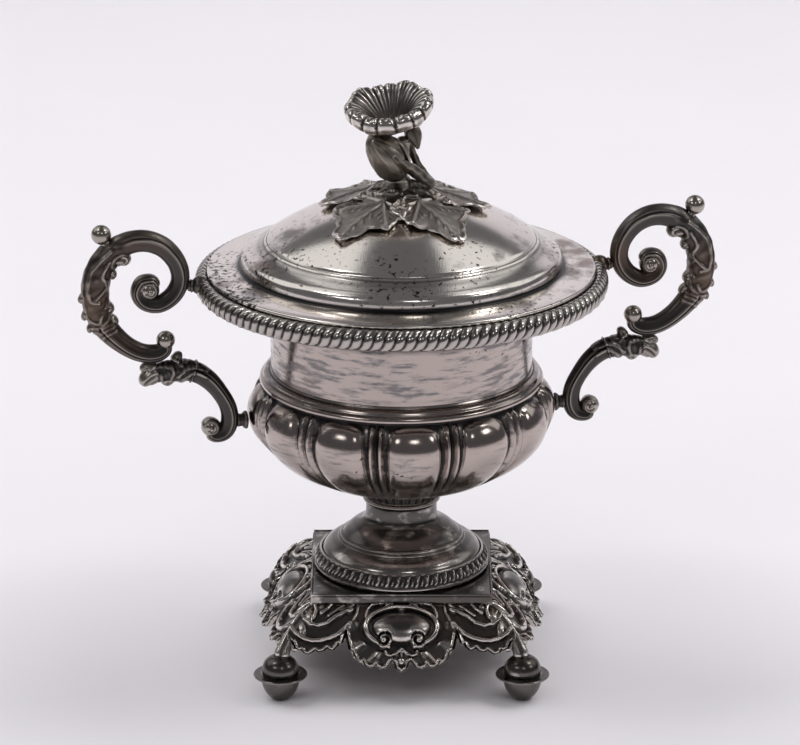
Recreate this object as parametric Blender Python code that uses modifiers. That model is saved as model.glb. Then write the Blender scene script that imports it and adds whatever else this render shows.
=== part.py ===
"""Covered silver sugar bowl on a square stand: every separate piece of the assembly.

Metres, +Z up.  The origin is on the ground under the bowl's axis.  The stand is square to X and Y,
and its front faces -Y.  The bowl and its two handles are turned a little on the stand.
"""

from math import cos, pi, radians, sin, sqrt

import bmesh
import bpy
from mathutils import Matrix, Vector

MM = 0.001

# Fits
GAP = 0.3 * MM                  # clearance between neighbouring pieces
WALL = 0.9 * MM                 # thickness of the raised sheet silver

# Bowl
BOWL_TURN = radians(10.0)       # turn of bowl and handles on the square stand
LOBES = 12
LOBE_PHASE = radians(10.0)      # first groove, counted from the right handle
LOBE_DEPTH = 0.055              # groove depth as a part of the belly's radius
BOWL_STEPS = LOBES * 4
CYLINDER_R = 38.4 * MM
CYLINDER_TOP_Z = 107.0 * MM
CYLINDER_FOOT_Z = 91.2 * MM
COVE_R = 5.9 * MM
MOUTH_R = 44.4 * MM             # inside of the upright mouth
MOUTH_Z = 118.6 * MM
SHOULDER_R = 40.0 * MM
SHOULDER_Z = 89.4 * MM
BELLY_R = 45.3 * MM
BELLY_Z = 78.8 * MM
BELLY_TOP_Z = 87.4 * MM
BOWL_BOTTOM_Z = 54.8 * MM
BOWL_BOTTOM_R = 12.0 * MM

# Border round the mouth
BORDER_R = 60.2 * MM
BORDER_TOP_Z = 119.6 * MM
BORDER_MID_Z = 117.4 * MM
BORDER_FOOT_Z = 113.9 * MM

# Lid
LID_R = 56.5 * MM
LID_EDGE_Z = 120.9 * MM
LID_WALL = 1.0 * MM
LID_STEP_R = 46.3 * MM
LID_CREASE_R = 39.2 * MM
LID_CREASE_Z = 128.8 * MM
LID_TOP_Z = 142.0 * MM
DOME_R = 68.7 * MM              # radius of the sphere that the dome is part of
LID_STEPS = 40
BEZEL_R = MOUTH_R - 0.4 * MM
BEZEL_FOOT_Z = 114.9 * MM
BEZEL_TOP_Z = 124.3 * MM

# Finial
STUD_R = 1.2 * MM
LEAF_ANGLES = {"front_left": 230.0, "front_right": 310.0, "back_right": 50.0, "back_left": 130.0}
LEAF_CENTRE_R = 16.5 * MM
LEAF_R = 10.4 * MM
LEAF_LOBES = 5
LEAF_SHEET = 0.9 * MM
FLOWER_CENTRE = Vector((-3.8, 0.0, 168.4)) * MM
FLOWER_AXIS = Vector((-0.12, -0.30, 0.95)).normalized()
FLOWER_R = 12.6 * MM

# Foot
COLLAR_R = 14.3 * MM
NECK_R = 10.5 * MM
PEDESTAL_TOP_Z = 50.3 * MM
CREASE_R = 17.4 * MM
CREASE_Z = 38.6 * MM
TORUS_R = 23.4 * MM
TORUS_Z = 34.0 * MM
FOOT_BORDER_R = 25.8 * MM
PLINTH_HALF = 26.5 * MM
PLINTH_TOP_Z = 28.9 * MM
PLINTH_FOOT_Z = 25.6 * MM
ROD_R = 1.5 * MM
ROD_FOOT_Z = 20.5 * MM

# Aprons, corner legs and feet
APRON_STEPS = 12
APRON_ROWS = 4
APRON_SHEET = 1.1 * MM
APRON_REACH = 41.0 * MM         # middle of the lower edge, out from the axis
FOOT_AT = 35.2 * MM             # feet stand at plus and minus this in X and Y
BALL_R = 5.45 * MM
BALL_MID_Z = 7.5 * MM
BALL_TOP_Z = 12.9 * MM
FOOT_PAD_R = 2.4 * MM
FLANGE_R = 7.9 * MM

# Handles: distance out from the bowl's axis, and height
UPPER_SCROLL = [
    # out, height, half width
    (76.3, 116.0, 2.0), (74.6, 113.6, 2.4), (70.8, 113.2, 2.6), (66.8, 115.8, 2.6), (64.7, 120.4, 2.6),
    (65.7, 125.6, 2.8), (69.4, 130.2, 3.0), (74.6, 132.4, 3.2), (80.2, 131.8, 3.4), (85.2, 128.6, 3.7),
    (88.4, 123.4, 4.0), (89.8, 117.4, 4.1), (89.0, 111.6, 4.0), (86.0, 106.2, 3.6), (81.6, 101.8, 3.3),
    (76.8, 98.9, 3.1), (72.4, 98.3, 2.8), (69.4, 99.2, 2.4),
]
LOWER_SCROLL = [
    (75.0, 91.4, 2.2), (70.4, 91.8, 2.9), (65.6, 92.8, 3.3), (60.9, 92.0, 3.2), (56.8, 89.2, 2.8),
    (53.5, 85.0, 2.5), (51.3, 80.6, 2.6), (50.8, 76.4, 2.9), (52.4, 73.2, 2.5), (55.4, 72.6, 2.0),
    (57.0, 74.2, 1.7),
]
VOLUTE_EYE = (74.0, 118.0, 3.4)
TOP_BALL = (87.3, 135.0, 2.4)
TOP_BALL_NECK = (86.4, 132.3, 1.8)
MID_BALL = (68.9, 101.4, 2.6)
CURL_BALL = (56.9, 76.0, 2.0)
KNOB = (58.9, 118.2, 2.5)
KNOB_NECK_END = 61.7
PAD_Z = 76.4 * MM
PAD_R = 2.6 * MM
PAD_SPAN = (45.7 * MM, 47.5 * MM)

SILVER = (0.80, 0.78, 0.75, 1.0)
OXIDISED = (0.30, 0.29, 0.29, 1.0)
BRASS = (0.62, 0.48, 0.26, 1.0)


# ---------------------------------------------------------------- scene and materials

def clear_scene():
    for obj in list(bpy.data.objects):
        bpy.data.objects.remove(obj, do_unlink=True)


def collection(name):
    group = bpy.data.collections.new(name)
    bpy.context.scene.collection.children.link(group)
    return group


def metal(name, colour, roughness):
    material = bpy.data.materials.new(name)
    material.use_nodes = True
    shader = material.node_tree.nodes["Principled BSDF"]
    shader.inputs["Base Color"].default_value = colour
    shader.inputs["Metallic"].default_value = 1.0
    shader.inputs["Roughness"].default_value = roughness
    return material


clear_scene()
PARTS = collection("sugar_bowl")
CUTTERS = collection("cutters")
BRIGHT = metal("bright_silver", SILVER, 0.22)
DARK = metal("oxidised_silver", OXIDISED, 0.38)
FITTING = metal("brass_fitting", BRASS, 0.40)


def empty(name, turn=0.0):
    obj = bpy.data.objects.new(name, None)
    obj.rotation_euler.z = turn
    PARTS.objects.link(obj)
    return obj


def add(name, data, material, parent=None):
    """Put a new piece in the parts collection."""
    obj = bpy.data.objects.new(name, data)
    data.materials.append(material)
    PARTS.objects.link(obj)
    obj.parent = parent
    return obj


def cutter(name, mesh):
    obj = bpy.data.objects.new(name, mesh)
    obj.hide_render = True
    obj.display_type = "WIRE"
    CUTTERS.objects.link(obj)
    return obj


def boolean(obj, other, operation):
    step = obj.modifiers.new(operation.title() + "_" + other.name, "BOOLEAN")
    step.operation = operation
    step.solver = "EXACT"
    step.object = other


# ---------------------------------------------------------------- shape helpers

def arc(centre, radii, start, end, steps):
    """Points along part of an ellipse in the (radius, height) plane, angles in degrees."""
    points = []
    for i in range(steps + 1):
        angle = radians(start + (end - start) * i / steps)
        points.append((centre[0] + radii[0] * cos(angle), centre[1] + radii[1] * sin(angle)))
    return points


def profile_mesh(name, points, closed):
    mesh = bpy.data.meshes.new(name)
    bm = bmesh.new()
    verts = [bm.verts.new((r, 0.0, z)) for r, z in points]
    for a, b in zip(verts, verts[1:]):
        bm.edges.new((a, b))
    if closed:
        bm.edges.new((verts[-1], verts[0]))
    bm.to_mesh(mesh)
    bm.free()
    return mesh


def turned(name, points, material, steps=32, closed=True, parent=None):
    """A turned piece.  The profile runs down its outer side, then back up the inside."""
    obj = add(name, profile_mesh(name, points, closed), material, parent)
    screw = obj.modifiers.new("Screw", "SCREW")
    screw.steps = steps
    screw.render_steps = steps
    screw.use_merge_vertices = True
    screw.merge_threshold = 0.00002
    screw.use_smooth_shade = True
    return obj


def ball_mesh(name, centre, radius, segments=12):
    mesh = bpy.data.meshes.new(name)
    bm = bmesh.new()
    bmesh.ops.create_uvsphere(bm, u_segments=segments, v_segments=segments // 2 + 1, radius=radius)
    bmesh.ops.translate(bm, verts=bm.verts, vec=centre)
    bm.to_mesh(mesh)
    bm.free()
    return mesh


def rod_mesh(name, radius, low, high, segments=16):
    """An upright rod or, with few segments, a hexagonal blank."""
    mesh = bpy.data.meshes.new(name)
    bm = bmesh.new()
    bmesh.ops.create_cone(bm, cap_ends=True, segments=segments, radius1=radius, radius2=radius,
                          depth=high - low)
    bmesh.ops.translate(bm, verts=bm.verts, vec=(0.0, 0.0, (low + high) / 2))
    bm.to_mesh(mesh)
    bm.free()
    return mesh


def hex_nut(name, radius, hole, low, high, parent):
    nut = add(name, rod_mesh(name, radius, low, high, 6), FITTING, parent)
    drill = rod_mesh(name + "_hole", hole, low - 1.0 * MM, high + 1.0 * MM)
    boolean(nut, cutter(name + "_hole", drill), "DIFFERENCE")


def smooth_route(points, per_span):
    """A Catmull-Rom curve through points of any length."""
    route = []
    last = len(points) - 1
    for i in range(last):
        p0 = points[max(i - 1, 0)]
        p1 = points[i]
        p2 = points[i + 1]
        p3 = points[min(i + 2, last)]
        for k in range(per_span):
            t = k / per_span
            route.append([0.5 * (2 * b + (c - a) * t + (2 * a - 5 * b + 4 * c - d) * t * t
                                 + (3 * b - a - 3 * c + d) * t ** 3)
                          for a, b, c, d in zip(p0, p1, p2, p3)])
    route.append(list(points[last]))
    return route


def bar_curve(name, route, bevel_resolution=2):
    """A round bar along points of (x, y, z, radius)."""
    curve = bpy.data.curves.new(name, "CURVE")
    curve.dimensions = "3D"
    curve.bevel_depth = 1.0
    curve.bevel_resolution = bevel_resolution
    curve.use_fill_caps = True
    spline = curve.splines.new("POLY")
    spline.points.add(len(route) - 1)
    for point, (x, y, z, radius) in zip(spline.points, route):
        point.co = (x, y, z, 1.0)
        point.radius = radius
    return curve


def bar_mesh(name, route):
    """The same bar as a welded mesh, for pieces that are joined to others."""
    curve = bar_curve(name + "_route", route)
    obj = bpy.data.objects.new(name + "_route", curve)
    CUTTERS.objects.link(obj)
    evaluated = obj.evaluated_get(bpy.context.evaluated_depsgraph_get())
    mesh = bpy.data.meshes.new_from_object(evaluated)
    mesh.name = name
    bpy.data.objects.remove(obj)
    bm = bmesh.new()
    bm.from_mesh(mesh)
    bmesh.ops.remove_doubles(bm, verts=bm.verts, dist=0.00001)
    bmesh.ops.recalc_face_normals(bm, faces=bm.faces)
    bm.to_mesh(mesh)
    bm.free()
    mesh.materials.clear()
    return mesh


# ---------------------------------------------------------------- bowl

def bowl_outline():
    """Outer side from the mouth to the bottom centre."""
    lip_r = MOUTH_R + WALL
    points = [(lip_r, MOUTH_Z), (lip_r, CYLINDER_TOP_Z + COVE_R + WALL)]
    points += arc((CYLINDER_R + COVE_R, CYLINDER_TOP_Z), (COVE_R, COVE_R), 90, 180, 2)
    points.append((CYLINDER_R - 0.3 * MM, (CYLINDER_TOP_Z + CYLINDER_FOOT_Z) / 2))
    points.append((CYLINDER_R + 0.2 * MM, CYLINDER_FOOT_Z))
    points.append((SHOULDER_R, SHOULDER_Z + 1.0 * MM))
    points.append((SHOULDER_R, SHOULDER_Z - 0.6 * MM))
    upper = (BELLY_R - 7.0 * MM, BELLY_Z)
    points += arc(upper, (7.0 * MM, BELLY_TOP_Z - BELLY_Z + 0.2 * MM), 70, 0, 3)
    lower = (BOWL_BOTTOM_R, BELLY_Z)
    points += arc(lower, (BELLY_R - BOWL_BOTTOM_R, BELLY_Z - BOWL_BOTTOM_Z), -16, -90, 5)
    return points


def bowl_inline():
    """Inner side from the bottom centre up to the mouth, a wall's thickness in."""
    lower = (BOWL_BOTTOM_R, BELLY_Z)
    depth = BELLY_Z - BOWL_BOTTOM_Z - WALL
    points = [(0.0, BOWL_BOTTOM_Z + WALL)]
    points += arc(lower, (BELLY_R - BOWL_BOTTOM_R - WALL, depth), -90, 0, 3)
    points.append((SHOULDER_R - WALL, BELLY_TOP_Z + 0.6 * MM))
    points.append((CYLINDER_R - WALL, CYLINDER_FOOT_Z - 0.4 * MM))
    points.append((CYLINDER_R - WALL - 0.3 * MM, (CYLINDER_TOP_Z + CYLINDER_FOOT_Z) / 2))
    cove = COVE_R + WALL
    points += arc((CYLINDER_R + COVE_R, CYLINDER_TOP_Z), (cove, cove), 180, 100, 2)
    points.append((MOUTH_R, CYLINDER_TOP_Z + cove + WALL))
    points.append((MOUTH_R, MOUTH_Z))
    return points


def lobe_factor(angle, height):
    """Radius factor of the belly: 1 on a lobe's crown, less in the grooves between lobes."""
    if height > BELLY_TOP_Z or height < BOWL_BOTTOM_Z + 0.5 * MM:
        return 1.0
    fade = sin(pi * (height - BOWL_BOTTOM_Z) / (BELLY_TOP_Z - BOWL_BOTTOM_Z)) ** 0.5
    groove = abs(cos((angle - LOBE_PHASE) * LOBES / 2)) ** 4
    return 1.0 - LOBE_DEPTH * fade * groove


def bowl_shell(parent):
    profile = bowl_inline() + bowl_outline() + [(0.0, BOWL_BOTTOM_Z)]
    bm = bmesh.new()
    start = Matrix.Rotation(LOBE_PHASE, 3, "Z")
    verts = [bm.verts.new(start @ Vector((r, 0.0, z))) for r, z in profile]
    edges = [bm.edges.new(pair) for pair in zip(verts, verts[1:])]
    bmesh.ops.spin(bm, geom=verts + edges, cent=(0, 0, 0), axis=(0, 0, 1), angle=2 * pi,
                   steps=BOWL_STEPS, use_merge=True)
    bmesh.ops.remove_doubles(bm, verts=bm.verts, dist=0.00002)
    for vert in bm.verts:
        angle = Vector((1, 0)).angle_signed(vert.co.xy, 0.0) if vert.co.xy.length > 0 else 0.0
        factor = lobe_factor(-angle, vert.co.z)
        vert.co.x *= factor
        vert.co.y *= factor
    bmesh.ops.recalc_face_normals(bm, faces=bm.faces)
    mesh = bpy.data.meshes.new("bowl_shell")
    bm.to_mesh(mesh)
    bm.free()
    mesh.shade_smooth()
    return add("bowl_shell", mesh, BRIGHT, parent)


def rim_border(parent):
    """Cast border with a flat inner flange, notched for the two handle knobs."""
    inner = MOUTH_R + WALL + GAP
    bead_r = 4.4 * MM
    profile = [(inner, BORDER_TOP_Z - 1.2 * MM), (BORDER_R - 6.2 * MM, BORDER_TOP_Z - 1.0 * MM),
               (BORDER_R - bead_r + 0.8 * MM, BORDER_TOP_Z)]
    profile += arc((BORDER_R - 3.2 * MM, BORDER_MID_Z), (3.2 * MM, 2.1 * MM), 50, 0, 2)
    profile += arc((BORDER_R - 3.2 * MM, BORDER_MID_Z), (3.2 * MM, 3.2 * MM), -35, -75, 1)
    profile.append((BORDER_R - 5.0 * MM, BORDER_FOOT_Z))
    profile.append((BORDER_R - 6.4 * MM, BORDER_TOP_Z - 2.8 * MM))
    profile.append((inner, BORDER_TOP_Z - 2.8 * MM))
    border = turned("rim_border", profile, DARK, BOWL_STEPS, parent=parent)
    out, height, radius = KNOB
    for side, sign in (("right", 1), ("left", -1)):
        centre = (sign * out * MM, 0.0, height * MM)
        label = "knob_notch_" + side
        notch = cutter(label, ball_mesh(label, centre, radius * MM + 1.5 * GAP))
        notch.parent = parent
        boolean(border, notch, "DIFFERENCE")


# ---------------------------------------------------------------- handles

def handle_route(points, per_span):
    spaced = [(out * MM, 0.0, height * MM, half * MM) for out, height, half in points]
    return smooth_route(spaced, per_span)


def scroll(name, points, balls, parent, turn, per_span):
    """A cast scroll with its balls joined on."""
    piece = add(name, bar_mesh(name, handle_route(points, per_span)), DARK, parent)
    piece.rotation_euler.z = turn
    for i, (out, height, radius) in enumerate(balls):
        label = f"{name}_ball_{i}"
        ball = cutter(label, ball_mesh(label, (out * MM, 0.0, height * MM), radius * MM, 8))
        ball.parent = parent
        ball.rotation_euler.z = turn
        boolean(piece, ball, "UNION")


def rim_knob(name, parent, turn):
    """Ball with a neck that reaches out to the upper scroll, turned about a level axis."""
    out, height, radius = KNOB
    reach = (KNOB_NECK_END - out) * MM
    neck_r = 1.4 * MM
    profile = [(0.0, reach), (neck_r, reach)]
    profile += arc((0.0, 0.0), (radius * MM, radius * MM), 90 - 34, -90, 5)
    knob = turned(name, profile, DARK, 12, closed=False, parent=parent)
    knob.rotation_euler = (0.0, pi / 2, turn)
    knob.location = Matrix.Rotation(turn, 3, "Z") @ Vector((out * MM, 0.0, height * MM))


def belly_joint(name, parent, turn):
    low, high = PAD_SPAN
    profile = [(0.0, high), (PAD_R * 0.7, high), (PAD_R, (low + high) / 2), (PAD_R * 0.8, low), (0.0, low)]
    pad = turned(name, profile, DARK, 12, closed=False, parent=parent)
    pad.rotation_euler = (0.0, pi / 2, turn)
    pad.location.z = PAD_Z


def handles(parent):
    upper_balls = [VOLUTE_EYE, TOP_BALL_NECK, TOP_BALL, MID_BALL]
    for side, turn in (("right", 0.0), ("left", pi)):
        scroll("upper_scroll_" + side, UPPER_SCROLL, upper_balls, parent, turn, 2)
        scroll("lower_scroll_" + side, LOWER_SCROLL, [CURL_BALL], parent, turn, 2)
        rim_knob("rim_knob_" + side, parent, turn)
        belly_joint("belly_joint_" + side, parent, turn)


# ---------------------------------------------------------------- lid and finial

def dome_height(radius):
    """Height of the lid's dome at a distance from the axis."""
    return LID_TOP_Z - DOME_R + sqrt(DOME_R ** 2 - radius ** 2)


def lid_shell(parent):
    hole = STUD_R + GAP
    rise = (DOME_R, DOME_R)
    centre = (0.0, LID_TOP_Z - DOME_R)
    dome_edge = 90 - 34.4
    outer = [(hole, LID_TOP_Z)] + arc(centre, rise, 80, dome_edge, 3)
    outer += [(LID_CREASE_R, LID_CREASE_Z), (42.6 * MM, 127.0 * MM), (45.5 * MM, 125.6 * MM),
              (LID_STEP_R, 123.9 * MM), (47.0 * MM, 121.9 * MM), (LID_R - 0.6 * MM, LID_EDGE_Z),
              (LID_R, LID_EDGE_Z - 0.5 * MM), (LID_R, LID_EDGE_Z - LID_WALL)]
    inner = [(LID_STEP_R, 120.7 * MM), (LID_STEP_R - 1.2 * MM, 123.2 * MM),
             (LID_STEP_R - 2.0 * MM, 124.7 * MM), (LID_CREASE_R - 0.9 * MM, 127.9 * MM)]
    inner += arc(centre, (DOME_R - LID_WALL, DOME_R - LID_WALL), dome_edge, 76, 2)
    inner.append((hole, LID_TOP_Z - LID_WALL))
    return turned("lid_shell", outer + inner, BRIGHT, LID_STEPS, parent=parent)


def lid_bezel(parent):
    inside = BEZEL_R - WALL
    profile = [(inside, BEZEL_TOP_Z), (BEZEL_R, BEZEL_TOP_Z - 0.3 * MM), (BEZEL_R, BEZEL_FOOT_Z),
               (inside, BEZEL_FOOT_Z)]
    turned("lid_bezel", profile, BRIGHT, 36, parent=parent)


def finial_leaf(name, azimuth, parent):
    """A lobed leaf lying just over the dome: a solidified fan of triangles."""
    segments = LEAF_LOBES * 4
    bm = bmesh.new()
    bmesh.ops.create_circle(bm, cap_ends=True, cap_tris=True, segments=segments, radius=1.0)
    for vert in bm.verts:
        if vert.co.length > 0.5:
            angle = Vector((1, 0)).angle_signed(vert.co.xy, 0.0)
            vert.co = vert.co.normalized() * LEAF_R * (0.90 + 0.13 * cos(LEAF_LOBES * angle))
        vert.co.x += LEAF_CENTRE_R
        lift = 1.1 * MM + 1.2 * MM * (1.0 - min(vert.co.xy.length / LEAF_CENTRE_R, 1.0))
        vert.co.z = dome_height(vert.co.xy.length) + lift
    bmesh.ops.recalc_face_normals(bm, faces=bm.faces)
    mesh = bpy.data.meshes.new(name)
    bm.to_mesh(mesh)
    bm.free()
    leaf = add(name, mesh, DARK, parent)
    leaf.rotation_euler.z = radians(azimuth)
    sheet = leaf.modifiers.new("Sheet", "SOLIDIFY")
    sheet.thickness = LEAF_SHEET
    sheet.offset = 1.0


def twig(name, points, parent):
    """A round twig along points of (x, y, z, radius) in millimetres."""
    route = smooth_route([tuple(value * MM for value in point) for point in points], 3)
    return add(name, bar_mesh(name, route), DARK, parent)


def aim(obj, place, axis):
    """Place a turned piece with its own +Z along an axis."""
    obj.location = place
    obj.rotation_euler = axis.to_track_quat("Z", "Y").to_euler()


def finial_bud(parent):
    foot = Vector((-1.0, -3.9, 153.2)) * MM
    tip = Vector((-9.5, -6.6, 162.8)) * MM
    length = (tip - foot).length
    profile = [(0.0, length), (1.2 * MM, 0.93 * length), (3.1 * MM, 0.72 * length),
               (4.1 * MM, 0.45 * length), (3.4 * MM, 0.18 * length), (1.8 * MM, 0.0), (0.0, 0.0)]
    bud = turned("finial_bud", profile, DARK, 12, closed=False, parent=parent)
    aim(bud, foot, (tip - foot).normalized())


def finial_flower(parent):
    """A trumpet flower: a thin turned shell whose lip rolls over."""
    depth = 9.0 * MM
    outside = [(FLOWER_R - 1.2 * MM, 0.6 * MM), (FLOWER_R, -0.2 * MM), (FLOWER_R - 0.4 * MM, -1.7 * MM),
               (FLOWER_R - 1.6 * MM, -1.9 * MM), (8.0 * MM, -2.4 * MM), (5.0 * MM, -4.8 * MM),
               (2.6 * MM, -depth)]
    inside = [(1.2 * MM, -depth), (3.6 * MM, -4.2 * MM), (7.2 * MM, -1.0 * MM)]
    flower = turned("finial_flower", outside + inside, DARK, 20, parent=parent)
    aim(flower, FLOWER_CENTRE, FLOWER_AXIS)


def finial_rosette(parent):
    """Small curled tendril on the middle of the leaves."""
    centre = Vector((-2.2, -5.6, 146.0)) * MM
    turns = 14
    route = []
    for i in range(turns + 1):
        share = i / turns
        angle = 2.0 * pi * 1.1 * share
        radius = (2.3 - 0.9 * share) * MM
        route.append((centre.x + radius * cos(angle), centre.y + radius * sin(angle) * 0.8,
                      centre.z + 0.7 * MM * share, 0.45 * MM))
    add("finial_rosette", bar_mesh("finial_rosette", route), DARK, parent)


def finial(parent):
    for label, azimuth in LEAF_ANGLES.items():
        finial_leaf("finial_leaf_" + label, azimuth, parent)
    twig("finial_stem", [(0.0, 0.0, 143.6, 1.9), (-0.6, -0.6, 147.0, 2.3), (-1.0, -2.2, 150.4, 2.1),
                         (-1.0, -3.1, 151.5, 1.7)], parent)
    finial_bud(parent)
    twig("bud_stem", [(8.4, -2.2, 148.6, 1.1), (6.4, -2.4, 150.4, 1.3), (3.9, -2.9, 152.2, 1.4),
                      (2.2, -3.4, 153.4, 1.2)], parent)
    twig("flower_stem", [(9.2, 1.0, 147.9, 1.1), (7.4, 1.6, 150.6, 1.3), (4.8, 2.2, 154.0, 1.3),
                         (1.4, 2.6, 157.2, 1.3), (-1.6, 2.6, 158.4, 1.2)], parent)
    finial_flower(parent)
    twig("flower_calyx", [(4.4, 1.6, 164.0, 0.9), (5.6, 0.8, 162.4, 1.5), (6.0, 0.4, 160.4, 1.1),
                          (6.3, 0.2, 158.8, 0.5)], parent)
    finial_rosette(parent)


def finial_fixing(parent):
    """Stud through the lid, with its washer and nut inside."""
    stud = rod_mesh("finial_stud", STUD_R, 135.0 * MM, 143.1 * MM, 12)
    add("finial_stud", stud, FITTING, parent)
    top = LID_TOP_Z - LID_WALL - GAP - 0.25 * MM
    hole = STUD_R + GAP
    washer = [(hole, top), (4.0 * MM, top - 0.1 * MM), (4.0 * MM, top - 0.9 * MM), (hole, top - 0.9 * MM)]
    turned("finial_washer", washer, FITTING, 16, parent=parent)
    hex_nut("finial_nut", 3.2 * MM, hole, top - 3.8 * MM, top - 1.2 * MM, parent)


# ---------------------------------------------------------------- foot

def pedestal_collar(parent):
    top = BOWL_BOTTOM_Z - GAP
    foot = PEDESTAL_TOP_Z + GAP
    bore = 4.0 * MM
    profile = [(bore, top), (COLLAR_R, top), (COLLAR_R - 0.6 * MM, top - 1.0 * MM),
               (COLLAR_R - 2.4 * MM, foot + 0.6 * MM), (COLLAR_R - 2.6 * MM, foot), (bore, foot)]
    turned("pedestal_collar", profile, DARK, 24, parent=parent)


def pedestal(parent):
    """Spun foot: a neck that opens to a round shoulder and a lower torus, hollow below."""
    bore = ROD_R + GAP
    outer = [(bore, PEDESTAL_TOP_Z), (NECK_R + 0.8 * MM, PEDESTAL_TOP_Z), (NECK_R + 0.8 * MM, 49.2 * MM),
             (NECK_R + 0.1 * MM, 48.6 * MM), (NECK_R, 45.4 * MM)]
    outer += [(NECK_R + 0.8 * MM, 42.8 * MM), (NECK_R + 3.2 * MM, 40.6 * MM), (CREASE_R, CREASE_Z)]
    outer += arc((CREASE_R - 0.2 * MM, TORUS_Z - 0.4 * MM), (TORUS_R - CREASE_R + 0.2 * MM, 4.8 * MM),
                 72, 5, 3)
    foot = PLINTH_TOP_Z + GAP
    outer.append((TORUS_R, foot))
    inner = [(TORUS_R - WALL, foot), (TORUS_R - WALL, 33.4 * MM), (CREASE_R + 1.0 * MM, 37.0 * MM),
             (NECK_R + 2.6 * MM, 39.6 * MM), (NECK_R - 0.3 * MM, 42.4 * MM), (NECK_R - WALL, 45.4 * MM),
             (NECK_R - WALL, PEDESTAL_TOP_Z - WALL), (bore, PEDESTAL_TOP_Z - WALL)]
    turned("pedestal", outer + inner, BRIGHT, 28, parent=parent)


def pedestal_border(parent):
    inner = TORUS_R + GAP + 0.1 * MM
    foot = PLINTH_TOP_Z + GAP
    profile = [(inner, TORUS_Z), (inner + 0.6 * MM, TORUS_Z - 0.3 * MM),
               (FOOT_BORDER_R - 0.2 * MM, foot + 1.6 * MM), (FOOT_BORDER_R, foot), (inner, foot)]
    turned("pedestal_border", profile, DARK, 28, parent=parent)


def plinth(parent):
    """Square stand: a flat top with a low upright edge, open below and drilled for the rod."""
    mesh = bpy.data.meshes.new("plinth")
    bm = bmesh.new()
    bmesh.ops.create_cube(bm, size=1.0)
    height = PLINTH_TOP_Z - PLINTH_FOOT_Z
    bmesh.ops.scale(bm, verts=bm.verts, vec=(2 * PLINTH_HALF, 2 * PLINTH_HALF, height))
    bmesh.ops.translate(bm, verts=bm.verts, vec=(0.0, 0.0, PLINTH_FOOT_Z + height / 2))
    underside = [face for face in bm.faces if face.normal.z < -0.5]
    bmesh.ops.delete(bm, geom=underside, context="FACES_ONLY")
    bm.to_mesh(mesh)
    bm.free()
    stand = add("plinth", mesh, BRIGHT, parent)
    shell = stand.modifiers.new("Sheet", "SOLIDIFY")
    shell.thickness = WALL
    shell.offset = -1.0
    shell.use_even_offset = True
    hole = cutter("rod_hole", rod_mesh("rod_hole", ROD_R + GAP, PLINTH_FOOT_Z, PLINTH_TOP_Z + 2 * MM))
    boolean(stand, hole, "DIFFERENCE")


def apron_point(across, down):
    """Point on the front apron: across from -1 to 1, down from 0 at the plinth to 1 at the fringe."""
    top_half = PLINTH_HALF - 2.2 * MM
    foot_half = FOOT_AT - 5.8 * MM
    half = top_half + (foot_half - top_half) * down
    bow = cos(across * pi / 2) ** 1.5
    reach = 33.0 * MM + (APRON_REACH - 33.0 * MM) * bow
    drop = 9.0 * MM + 3.2 * MM * cos(across * 3 * pi / 2) * (1.0 if abs(across) < 0.5 else 0.6)
    start = PLINTH_HALF - 1.2 * MM
    out = start + (reach - start) * (down ** 0.8)
    return Vector((across * half, -out, PLINTH_FOOT_Z - GAP - 0.6 * APRON_SHEET - drop * down))


def apron_mesh():
    """Sheet of the front apron, with the top edge under the plinth."""
    bm = bmesh.new()
    bmesh.ops.create_grid(bm, x_segments=APRON_STEPS, y_segments=APRON_ROWS, size=1.0)
    for vert in bm.verts:
        vert.co = apron_point(vert.co.x, (1.0 - vert.co.y) / 2)
    bmesh.ops.recalc_face_normals(bm, faces=bm.faces)
    mesh = bpy.data.meshes.new("apron")
    bm.to_mesh(mesh)
    bm.free()
    return mesh


def aprons(parent):
    for side, turn in (("front", 0.0), ("right", pi / 2), ("back", pi), ("left", -pi / 2)):
        apron = add("apron_" + side, apron_mesh(), DARK, parent)
        apron.rotation_euler.z = turn
        sheet = apron.modifiers.new("Sheet", "SOLIDIFY")
        sheet.thickness = APRON_SHEET
        sheet.offset = 0.0


def corner_legs(parent):
    """Leaf-shaped corner brackets from the plinth's corners down to the feet."""
    for label, turn in CORNERS:
        route = [(38.2 * MM, 0.0, 23.2 * MM, 1.7 * MM), (40.8 * MM, 0.0, 21.7 * MM, 2.1 * MM),
                 (44.0 * MM, 0.0, 19.6 * MM, 2.5 * MM), (47.6 * MM, 0.0, 17.2 * MM, 2.5 * MM),
                 (FOOT_AT * sqrt(2), 0.0, 15.9 * MM, 2.4 * MM)]
        leg = add("corner_leg_" + label, bar_mesh("corner_leg", smooth_route(route, 2)), DARK, parent)
        leg.rotation_euler.z = turn


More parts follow.
